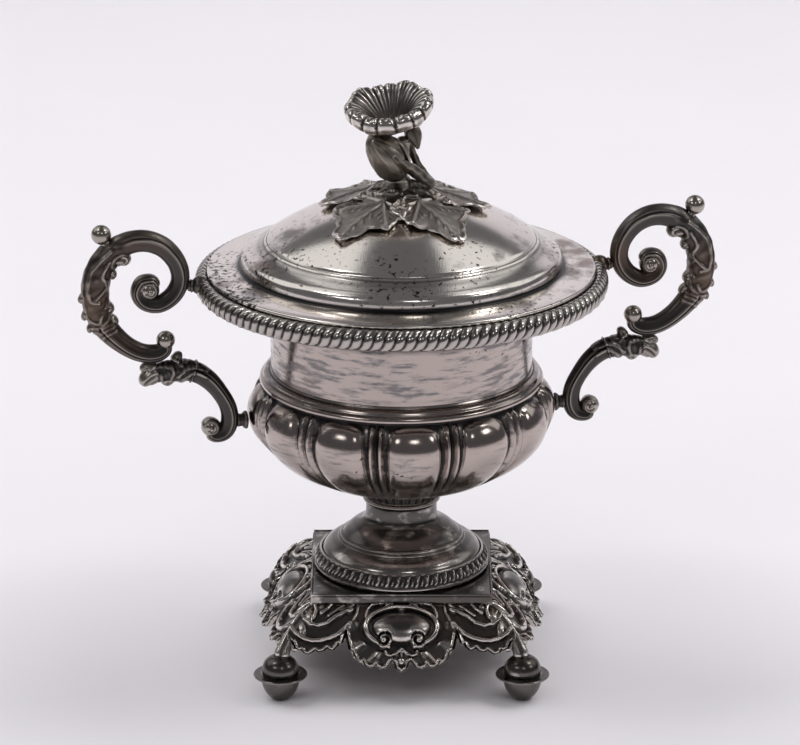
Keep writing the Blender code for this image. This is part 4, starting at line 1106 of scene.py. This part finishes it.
FOOT_OUTLINE = [(0.0, 13.2), (2.4, 13.15), (3.6, 12.6), (4.7, 11.5), (5.3, 10.1), (5.45, 8.8),
                (5.3, 8.1), (5.0, 7.9), (5.0, 7.0), (5.5, 6.8), (5.65, 6.0), (5.4, 4.4), (4.7, 2.6),
                (3.6, 1.1), (2.6, 0.2), (2.2, 0.0), (0.0, 0.0)]
RING_OUTLINE = [(5.1, 7.95), (6.8, 7.75), (7.5, 7.85), (7.8, 7.75), (7.9, 7.45), (7.75, 7.15),
                (7.3, 7.05), (5.1, 7.05)]


class SUGARBOWL_OT_feet(bpy.types.Operator):
    """Turn the ball feet and their flange rings"""
    bl_idname = "sugarbowl.feet"
    bl_label = "Feet"

    def execute(self, context):
        foot = spun("foot", chaikin(FOOT_OUTLINE, 2), 56)
        ring = spun("ring", chaikin(RING_OUTLINE, 1), 72, closed=True)
        for label in CORNERS:
            low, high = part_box("foot_ball_" + label)
            centre = ((low.x + high.x) / 2, (low.y + high.y) / 2, 0.0)
            piece(turned_copy(f"turned_foot_{label}", foot, 0.0, centre), [f"foot_ball_{label}"], BOWL,
                  "foot silver", depth=0.8, rounds=8)
            piece(turned_copy(f"foot_ring_{label}", ring, 0.0, centre), [f"foot_flange_{label}"], BOWL,
                  "foot silver", depth=0.3, rounds=4)
        bpy.data.meshes.remove(foot)
        bpy.data.meshes.remove(ring)
        return {"FINISHED"}


# ---------------------------------------------------------------- lid and finial

DOME_R = 68.7
LID_TOP = 142.0
LID_WALL = 0.95


def dome_height(radius):
    """Height of the lid's dome at a radius."""
    return LID_TOP - DOME_R + np.sqrt(DOME_R ** 2 - np.minimum(radius, 60.0) ** 2)


def lid_outline(edge):
    """Outline of the lid's wall from its top to the brim's edge and back inside."""
    centre = (0.0, LID_TOP - DOME_R)
    outline = [(0.0, LID_TOP)] + arc(centre, DOME_R, 88, 90 - 34.2, 26)
    outline += [(38.9, 129.5), (39.15, 129.1), (39.35, 129.3), (39.7, 129.1), (39.9, 128.6),
                (41.4, 127.55), (43.2, 126.7), (45.0, 126.0), (45.7, 125.6), (46.2, 124.9),
                (46.5, 123.9), (46.6, 122.9), (46.7, 122.2), (47.0, 121.85), (47.6, 121.7),
                (51.0, 121.45), (54.6, 121.15), (edge - 0.9, 121.0), (edge - 0.25, 120.95),
                (edge, 120.6), (edge, 120.15), (edge - 0.25, 119.9), (edge - 0.8, 119.95),
                (edge - 1.4, 120.1), (50.0, 120.5), (46.0, 120.8), (45.6, 121.6), (45.5, 123.4),
                (45.0, 124.6), (43.4, 125.5), (40.0, 127.2), (38.6, 128.0), (38.0, 129.0)]
    outline += arc(centre, DOME_R - LID_WALL, 90 - 33.8, 88, 10) + [(0.0, LID_TOP - LID_WALL)]
    return outline


LEAF_BODY = 8.8                 # radius of a leaf between its lobes
LEAF_BASE = (-5.0, 0.0)         # where the veins meet
LOBE_TURNS = (1.12, 2.1)        # angles of the side lobes from the tip


def leaf_mesh(name, azimuth, seed, out, tip, lobes, twist):
    """A broad vine leaf with teeth, raised edge and veins, laid over the dome."""
    rng = np.random.default_rng(seed)
    wave = rng.uniform(0, 2 * pi, 3)
    def radius_at(phi):
        shape = LEAF_BODY + (tip - LEAF_BODY) * bump(phi, 0.42)
        for sign in (-1, 1):
            for lobe, turn, width in zip(lobes, LOBE_TURNS, (0.34, 0.40)):
                shape = shape + (lobe - LEAF_BODY) * bump(phi - sign * turn, width)
        shape = shape - 3.0 * bump(np.abs(phi) - pi, 0.14)
        teeth = np.abs(np.sin(9.5 * phi + 0.6)) ** 0.8
        return shape * (1 + 0.06 * teeth)

    def place(u, v):
        a, b = 2 * u - 1, 2 * v - 1
        px = a * np.sqrt(1 - b * b / 2)
        py = b * np.sqrt(1 - a * a / 2)
        r = np.hypot(px, py)
        phi = np.arctan2(py, px)
        dist = r * radius_at(phi)
        x, y = dist * np.cos(phi), dist * np.sin(phi)
        veins = np.zeros_like(x)
        ends = [(0.0, tip)] + [(sign * turn, lobe) for lobe, turn in zip(lobes, LOBE_TURNS)
                               for sign in (1, -1)]
        for angle, length in ends:
            end = (length * 0.94 * cos(angle), length * 0.94 * sin(angle))
            veins = np.maximum(veins, 0.55 * bump(near_line(x, y, [LEAF_BASE, end]), 0.55))
            heading = np.arctan2(end[1], end[0] - LEAF_BASE[0])
            for share in (0.3, 0.48, 0.66, 0.82):
                sx, sy = LEAF_BASE[0] + (end[0] - LEAF_BASE[0]) * share, end[1] * share
                for sign in (-1, 1):
                    turn, far_out = heading + sign * 0.7, 5.0 * (1.12 - share)
                    side = near_line(x, y, [(sx, sy), (sx + far_out * cos(turn),
                                                       sy + far_out * sin(turn))])
                    veins = np.maximum(veins, 0.20 * bump(side, 0.34))
        rim = 0.8 * bump(r - 0.95, 0.055)
        swell = (0.9 * np.cos(5.8 * phi + 0.3) * r ** 3 + 0.6 * np.sin(3 * phi + wave[0]) * r ** 3
                 + 0.5 * np.sin(9 * phi + wave[1]) * r ** 5)
        turn = azimuth + twist
        gx = out * cos(azimuth) + x * cos(turn) - y * sin(turn)
        gy = out * sin(azimuth) + x * sin(turn) + y * cos(turn)
        far = np.hypot(gx, gy)
        lift = 1.4 + 1.5 * smoothstep(13.0, 2.5, far) + veins + rim + 0.5 * swell
        lift = lift - 0.5 * smoothstep(20.0, 29.0, far)
        return np.stack([gx, gy, dome_height(far) + np.maximum(lift, 0.75)], 1)

    return thicken(sheet(name, 104, 104, place), 0.6)


def twig_section(s, phi):
    """Bark ridges that wind round a twig, and a few knots."""
    knots = 0.14 * np.sin(14.0 * s + 1.5 * np.sin(phi)) ** 4
    return 1.0, 1.0, 0.09 * np.sin(4 * phi + 7 * s) + knots


def twig(name, points, steps=70):
    """A round twig along points of (x, y, z, radius)."""
    return swept(name, [(x, y, z, r, r) for x, y, z, r in points], steps, 28, across=(0.1, 1.0, 0.2),
                 section=twig_section)


def bud_section(s, phi):
    """Wrapped petals that wind up the bud."""
    saw = ((phi / (2 * pi)) * 3 + 0.5 * s) % 1.0
    wrap = 0.14 * saw ** 1.5 - 0.05
    shape = np.sin(pi * np.clip(s, 0.0, 1.0)) ** 0.5
    return 1.0, 1.0, wrap * shape


FLOWER_OUTLINE = [
    (0.0, -9.2), (1.0, -9.0), (2.4, -8.0), (3.9, -6.2), (5.2, -4.4), (6.4, -2.8), (7.6, -1.4),
    (8.8, -0.4), (10.0, 0.25), (11.0, 0.45), (11.8, 0.2), (12.4, -0.5), (12.7, -1.4), (12.7, -2.4),
    (12.45, -3.4), (11.95, -4.1), (11.35, -4.0), (11.1, -3.2), (11.0, -2.3), (10.6, -1.7), (9.8, -1.6),
    (8.9, -1.9), (8.0, -2.7), (7.0, -3.8), (5.9, -5.3), (4.7, -7.0), (3.4, -8.8), (2.4, -10.0),
    (1.7, -10.3), (0.0, -10.5)]


def flower_mesh(name, lobes):
    """A trumpet flower with a pleated throat and a scalloped lip that rolls over."""
    outline = even(chaikin(FLOWER_OUTLINE, 1), 0.5)
    mesh = spun(name, outline, 16, sectors=lobes)
    radius, height, around = polar(mesh)
    out = np.clip(radius / 12.6, 0, 1)
    crease = bump(np.cos(lobes * around / 2 + 0.5 * np.sin(3 * around)), 0.30)
    phase = 0.9 * np.sin(2 * around + 0.6) + 0.6 * np.sin(5 * around) + 0.4 * np.sin(9 * around + 1)
    inside = height > np.interp(radius, [0, 5, 8, 12.6], [-9.6, -5.6, -1.9, -1.6])
    pleat = 0.15 * np.sin(2 * lobes * around) * smoothstep(0.15, 0.4, out) * (1 - smoothstep(0.8, 1.0, out))
    flute = np.where(inside, -0.6 * crease * smoothstep(0.25, 0.7, out) + pleat, 0.2 * crease)
    radius = radius * (1 - 0.03 * crease * out ** 2.5 + 0.03 * phase * out ** 2)
    height = height + flute - 0.2 * crease * out ** 4 + 0.75 * phase * out ** 3
    move_polar(mesh, radius, height, around)
    axis = Vector((-0.12, -0.245, 0.96)).normalized()
    turn = axis.to_track_quat("Z", "Y").to_matrix().to_4x4()
    mesh.transform(Matrix.Translation(Vector((-3.8, 0.0, 170.3)) * MM) @ turn)
    return mesh


class SUGARBOWL_OT_lid(bpy.types.Operator):
    """Spin the stepped and domed lid, and finish the ring inside it"""
    bl_idname = "sugarbowl.lid"
    bl_label = "Lid"

    def execute(self, context):
        edge = context.scene.sugarbowl_sizes.lid_radius / MM
        mesh = spun("spun_lid", even(lid_outline(edge), 1.0), 24, sectors=12)
        piece(mesh, ["lid_shell"], LID, "lid silver", depth=0.35, rounds=8)
        low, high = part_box("lid_bezel")
        outer = high.x / MM
        outline = [(outer - 0.9, high.z / MM), (outer - 0.2, high.z / MM), (outer, high.z / MM - 0.4),
                   (outer, low.z / MM + 0.3), (outer - 0.3, low.z / MM), (outer - 0.7, low.z / MM),
                   (outer - 0.9, low.z / MM + 0.3)]
        piece(spun("lid_ring", chaikin(outline, 1), 160, closed=True), ["lid_bezel"], LID,
              "lid silver", depth=0.3, rounds=4)
        return {"FINISHED"}


class SUGARBOWL_OT_finial(bpy.types.Operator):
    """Cast the finial: four vine leaves, twigs, a bud, a trumpet flower and a curl"""
    bl_idname = "sugarbowl.finial"
    bl_label = "Finial"

    def execute(self, context):
        self.leaves()
        self.main_twig()
        self.bud()
        self.flower(context.scene.sugarbowl_sizes.flower_lobes)
        self.curl()
        return {"FINISHED"}

    def leaves(self):
        """Four vine leaves on the dome; the last has a small one beside it."""
        for label, azimuth, seed, out, tip, lobes, twist in (
                ("front_left", 237.0, 3, 15.2, 15.2, (11.4, 10.8), -0.14),
                ("front_right", 302.0, 5, 15.0, 15.0, (11.4, 10.8), 0.08),
                ("back_right", 14.0, 8, 13.2, 13.4, (11.0, 10.4), -0.60),
                ("back_left", 158.0, 13, 13.2, 12.4, (11.0, 10.4), 0.85)):
            mesh = leaf_mesh(f"vine_leaf_{label}", radians(azimuth), seed, out, tip, lobes, twist)
            if label == "back_left":
                rear = leaf_mesh("rear", radians(92.0), 21, 14.0, 13.0, (11.0, 10.0), 0.1)
                mesh = joined(f"vine_leaf_{label}", [mesh, rear])
            self.cast(mesh, [f"finial_leaf_{label}"], 18, "leaf silver")

    def main_twig(self):
        """Mound of foliage with the main twig and its side twigs."""
        crown = spun("crown", even([(0.0, 144.9), (3.0, 144.8), (6.0, 144.3), (8.6, 143.3), (10.6, 142.0),
                                    (10.9, 141.2), (9.0, 141.3), (0.0, 141.6)], 0.5), 90)
        self.cast(joined("main_twig", [
            crown,
            twig("a", [(0.3, -0.6, 141.9, 6.0), (0.2, -0.8, 143.8, 4.8), (-0.2, -1.6, 145.6, 3.5),
                       (-0.8, -2.4, 147.4, 3.1), (-1.2, -2.8, 149.6, 2.8), (-1.2, -3.0, 151.6, 2.0)]),
            twig("b", [(0.0, -1.6, 145.6, 2.0), (4.0, -1.4, 145.6, 1.9), (7.6, -0.8, 145.6, 1.7),
                       (9.4, -0.6, 145.2, 1.2)]),
            twig("c", [(-0.4, -1.4, 147.4, 1.7), (0.4, -0.6, 151.6, 1.7), (0.7, 0.2, 156.0, 1.9),
                       (0.2, 0.2, 160.0, 2.2)], 40),
            twig("d", [(2.6, -3.0, 144.9, 1.2), (6.0, -4.6, 144.4, 1.0), (10.2, -5.8, 143.0, 0.7)], 40),
            twig("e", [(-2.4, -1.0, 144.9, 1.5), (-5.6, 0.4, 144.6, 1.2), (-9.0, 1.8, 143.2, 0.7)], 40),
        ]), ["finial_stem"], 10)

    def bud(self):
        """Closed bud with three sepals."""
        bud = swept("bud_heart", [(-1.3, -3.0, 147.9, 2.5, 2.5), (-1.5, -3.4, 150.4, 4.1, 4.1),
                                  (-2.5, -4.0, 153.4, 5.0, 5.0), (-4.0, -4.8, 156.6, 5.2, 5.2),
                                  (-5.8, -5.6, 159.4, 4.4, 4.4), (-7.3, -6.2, 161.4, 2.9, 2.9),
                                  (-8.4, -6.6, 162.6, 1.3, 1.3)], 90, 60,
                    section=bud_section, blunt=0.6)
        sepals = [swept("sepal", line, 44, 24, across=across, section=tip_section) for line, across in (
            ([(0.8, -6.4, 150.6, 1.4, 0.8), (-0.2, -8.6, 153.6, 2.6, 0.8), (-2.2, -9.9, 156.8, 2.7, 0.8),
              (-5.0, -9.9, 159.6, 1.9, 0.7), (-7.8, -8.6, 161.6, 0.5, 0.4)], (0.3, -0.9, 0.2)),
            ([(2.2, -3.6, 151.4, 1.2, 0.8), (2.4, -4.0, 155.0, 2.2, 0.8), (0.4, -4.4, 159.4, 2.1, 0.8),
              (-3.6, -5.4, 162.0, 0.9, 0.5)], (0.9, 0.2, 0.5)),
            ([(-3.6, -4.4, 148.6, 1.2, 0.7), (-5.4, -5.4, 151.9, 2.4, 0.8), (-7.8, -6.4, 155.6, 2.4, 0.7),
              (-9.2, -7.0, 159.4, 0.7, 0.5)], (-0.8, -0.2, -0.5)))]
        closed = joined("closed_bud", [bud] + sepals)
        closed.transform(Matrix.Translation(Vector((-0.7, 0.0, -0.5)) * MM))
        self.cast(closed, ["finial_bud"], 12)

    def flower(self, lobes):
        """Twigs of the bud and the flower, the flower, and the leaf that hangs from it."""
        self.cast(twig("bud_twig", [(9.4, -1.4, 145.4, 1.1), (7.8, -2.0, 146.8, 1.4),
                                    (5.6, -2.8, 148.8, 1.6), (3.6, -4.4, 150.8, 1.7),
                                    (1.4, -7.0, 152.8, 1.5), (-0.6, -9.2, 154.8, 1.1),
                                    (-2.6, -10.2, 157.0, 0.6)]), ["bud_stem"], 8)
        self.cast(twig("flower_twig", [(9.6, 0.2, 145.0, 1.2), (7.2, 0.6, 147.6, 1.15),
                                       (4.6, 0.8, 151.4, 1.05), (3.0, 0.8, 155.6, 1.0),
                                       (2.2, 0.8, 159.4, 1.1), (1.6, 0.6, 162.0, 1.2)]),
                  ["flower_stem"], 8)
        flower = flower_mesh("trumpet_flower", lobes)
        self.cast(flower, ["finial_flower"], 14, "cast silver")
        calyx = swept("hanging_calyx", [(1.0, 0.4, 162.0, 1.5, 0.9), (2.6, -0.4, 162.2, 2.2, 0.9),
                                        (3.8, -0.8, 160.4, 2.2, 0.8), (4.4, -1.0, 158.2, 1.3, 0.6),
                                        (4.8, -1.0, 156.3, 0.4, 0.3)], 50, 24,
                      across=(0.2, -1.0, 0.2), section=tip_section)
        self.cast(calyx, ["flower_calyx"], 8)

    def curl(self):
        """Curled tendril in front of the twigs."""
        turns = 46
        line = []
        for i in range(turns + 1):
            share = i / turns
            angle = 2 * pi * 1.6 * share
            r = 2.7 - 2.0 * share
            line.append((-2.6 + r * cos(angle), -8.6 + 0.85 * r * sin(angle), 144.9 + 1.0 * share, 0.62,
                         0.62))
        rosette = [swept("curl", line, 130, 16, across=(0.0, 0.2, 1.0)),
                   ball((-2.6, -8.6, 145.8), 0.9, segments=16)]
        self.cast(joined("tendril_curl", rosette), ["finial_rosette"], 6)

    def cast(self, mesh, nodes, rounds, finish="twig silver"):
        """Finish a casting of the finial."""
        piece(mesh, nodes, LID, finish, depth=0.3, rounds=rounds)


class SUGARBOWL_OT_fittings(bpy.types.Operator):
    """Give the hidden stud, rod, washers and nuts their brass"""
    bl_idname = "sugarbowl.fittings"
    bl_label = "Fittings"

    def execute(self, context):
        for name in ("finial_stud", "finial_washer", "finial_nut", "tie_rod", "tie_washer", "tie_nut"):
            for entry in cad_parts[name].material_slots:
                entry.material = bpy.data.materials["brass"]
        return {"FINISHED"}


# ---------------------------------------------------------------- stage

BOWL_MIDDLE = (0.0, 0.0, 0.08)
# Name, place, size, power, what it shines at, whether the silver mirrors it
LIGHTS = (
    ("fill_left", (-0.9, 0.25, 1.3), (1.2, 1.2), 8.7, BOWL_MIDDLE, False),
    ("fill_right", (0.9, 0.25, 1.3), (1.2, 1.2), 8.7, BOWL_MIDDLE, False),
    ("fill_front", (0.0, -0.85, 1.4), (1.5, 1.0), 4.6, BOWL_MIDDLE, False),
    ("card_left", (-0.87, 0.42, 1.05), (1.0, 1.3), 2.7, (-0.1, 0.2, 0.1), True),
    ("card_right", (0.87, 0.42, 1.05), (1.0, 1.3), 2.7, (0.1, 0.2, 0.1), True),
    ("window_left", (-0.60, -0.12, 1.05), (0.16, 0.2), 0.8, BOWL_MIDDLE, True),
    ("window_right", (0.68, -0.05, 1.05), (0.26, 0.2), 1.2, BOWL_MIDDLE, True),
    ("front_window_left", (-0.92, -1.0, 1.0), (0.44, 0.26), 1.1, BOWL_MIDDLE, True),
    ("front_window_middle", (0.24, -1.3, 1.0), (0.26, 0.24), 0.7, BOWL_MIDDLE, True),
    ("front_window_right", (1.2, -0.5, 0.95), (0.36, 0.3), 1.2, BOWL_MIDDLE, True),
    ("backdrop_light", (0.0, 0.8, 1.3), (2.6, 0.3), 6.5, (0.0, 1.65, 0.35), False))
FLOOR_HALF = 2.68
SWEEP_FROM = 1.25               # how far back the floor starts to curve up
SWEEP_RADIUS = 0.45
CAMERA_PLACE = (-0.00042, -1.2, 0.49668)
CAMERA_TILT = radians(71.2)
LENS = 194.85


def soft_light(name, place, size, power, target, mirrored):
    """A rectangular light that shines at a point."""
    data = bpy.data.lights.new(name, "AREA")
    data.shape = "RECTANGLE"
    data.size, data.size_y = size
    data.energy = power
    light = bpy.data.objects.new(name, data)
    light.location = place
    light.visible_glossy = mirrored
    light.rotation_euler = (Vector(target) - Vector(place)).to_track_quat("-Z", "Y").to_euler()
    bpy.context.scene.collection.objects.link(light)


class SUGARBOWL_OT_stage(bpy.types.Operator):
    """Lay the pale floor that curves up behind, hang the soft lights and set the camera"""
    bl_idname = "sugarbowl.stage"
    bl_label = "Stage"

    def execute(self, context):
        self.floor(context, tuple(context.scene.sugarbowl_colours.floor))
        for light in LIGHTS:
            soft_light(*light)
        world = bpy.data.worlds.new("studio")
        world.use_nodes = True
        world.node_tree.nodes["Background"].inputs["Color"].default_value = (0.95, 0.95, 1.0, 1.0)
        world.node_tree.nodes["Background"].inputs["Strength"].default_value = 0.11
        context.scene.world = world
        context.scene.view_settings.view_transform = "Standard"
        data = bpy.data.cameras.new("camera")
        data.lens = LENS
        data.sensor_width = 36.0
        camera = bpy.data.objects.new("camera", data)
        camera.location = CAMERA_PLACE
        camera.rotation_euler = (CAMERA_TILT, 0.0, 0.0)
        context.scene.collection.objects.link(camera)
        context.scene.camera = camera
        return {"FINISHED"}

    def floor(self, context, colour):
        """Pale paper that curves up behind the bowl."""
        bm = bmesh.new()
        bmesh.ops.create_grid(bm, x_segments=4, y_segments=90, size=FLOOR_HALF)
        for vert in bm.verts:
            vert.co.x *= 1.4
            run = vert.co.y
            over = max(run - SWEEP_FROM, 0.0)
            angle = min(over / SWEEP_RADIUS, pi / 2)
            rest = max(over - SWEEP_RADIUS * pi / 2, 0.0)
            vert.co.y = min(run, SWEEP_FROM) + SWEEP_RADIUS * sin(angle)
            vert.co.z = SWEEP_RADIUS * (1 - cos(angle)) + rest
        mesh = mesh_from("pale_floor", bm)
        mesh.shade_smooth()
        mesh.materials.append(self.paper(colour))
        floor = bpy.data.objects.new("pale_floor", mesh)
        context.scene.collection.objects.link(floor)

    def paper(self, colour):
        """Matt paper with a faint change of tone."""
        material = bpy.data.materials.new("pale paper")
        material.use_nodes = True
        tree = material.node_tree
        shader = tree.nodes["Principled BSDF"]
        shader.inputs["Roughness"].default_value = 0.8
        shader.inputs["Specular IOR Level"].default_value = 0.2
        place = node(tree, "ShaderNodeTexCoord", (-900, 200))
        grain = noise(tree, place.outputs["Object"], 9.0, 2.0, (-700, 200))
        tone = node(tree, "ShaderNodeValToRGB", (-450, 200))
        for stop, position, share in zip(tone.color_ramp.elements, (0.3, 0.7), (0.985, 1.0)):
            stop.position = position
            stop.color = (*(share * c for c in colour), 1.0)
        tree.links.new(grain, tone.inputs["Fac"])
        tree.links.new(tone.outputs["Color"], shader.inputs["Base Color"])
        return material


OPERATORS = (SUGARBOWL_OT_finishes, SUGARBOWL_OT_raised_bowl, SUGARBOWL_OT_mouth_border,
             SUGARBOWL_OT_handles, SUGARBOWL_OT_foot, SUGARBOWL_OT_aprons, SUGARBOWL_OT_corner_legs,
             SUGARBOWL_OT_feet, SUGARBOWL_OT_lid, SUGARBOWL_OT_finial, SUGARBOWL_OT_fittings,
             SUGARBOWL_OT_stage)


class SUGARBOWL_PT_panel(bpy.types.Panel):
    """Sizes, colours and the steps that build the sugar bowl"""
    bl_idname = "SUGARBOWL_PT_panel"
    bl_label = "Sugar Bowl"
    bl_space_type = "VIEW_3D"
    bl_region_type = "UI"
    bl_category = "Sugar Bowl"

    def draw(self, context):
        for group in (context.scene.sugarbowl_sizes, context.scene.sugarbowl_colours):
            for name in group.__annotations__:
                self.layout.prop(group, name)
        for operator in OPERATORS:
            self.layout.operator(operator.bl_idname)


CLASSES = (SugarBowlSizes, SugarBowlColours, *OPERATORS, SUGARBOWL_PT_panel)


def register():
    """Register the classes and hang their properties on the scene."""
    for entry in CLASSES:
        bpy.utils.register_class(entry)
    bpy.types.Scene.sugarbowl_sizes = PointerProperty(type=SugarBowlSizes)
    bpy.types.Scene.sugarbowl_colours = PointerProperty(type=SugarBowlColours)


def unregister():
    """Undo register."""
    del bpy.types.Scene.sugarbowl_colours
    del bpy.types.Scene.sugarbowl_sizes
    for entry in reversed(CLASSES):
        bpy.utils.unregister_class(entry)


def main():
    """Build everything in order."""
    register()
    for operator in OPERATORS:
        getattr(bpy.ops.sugarbowl, operator.bl_idname.split(".")[1])()


if __name__ == "__main__":
    main()
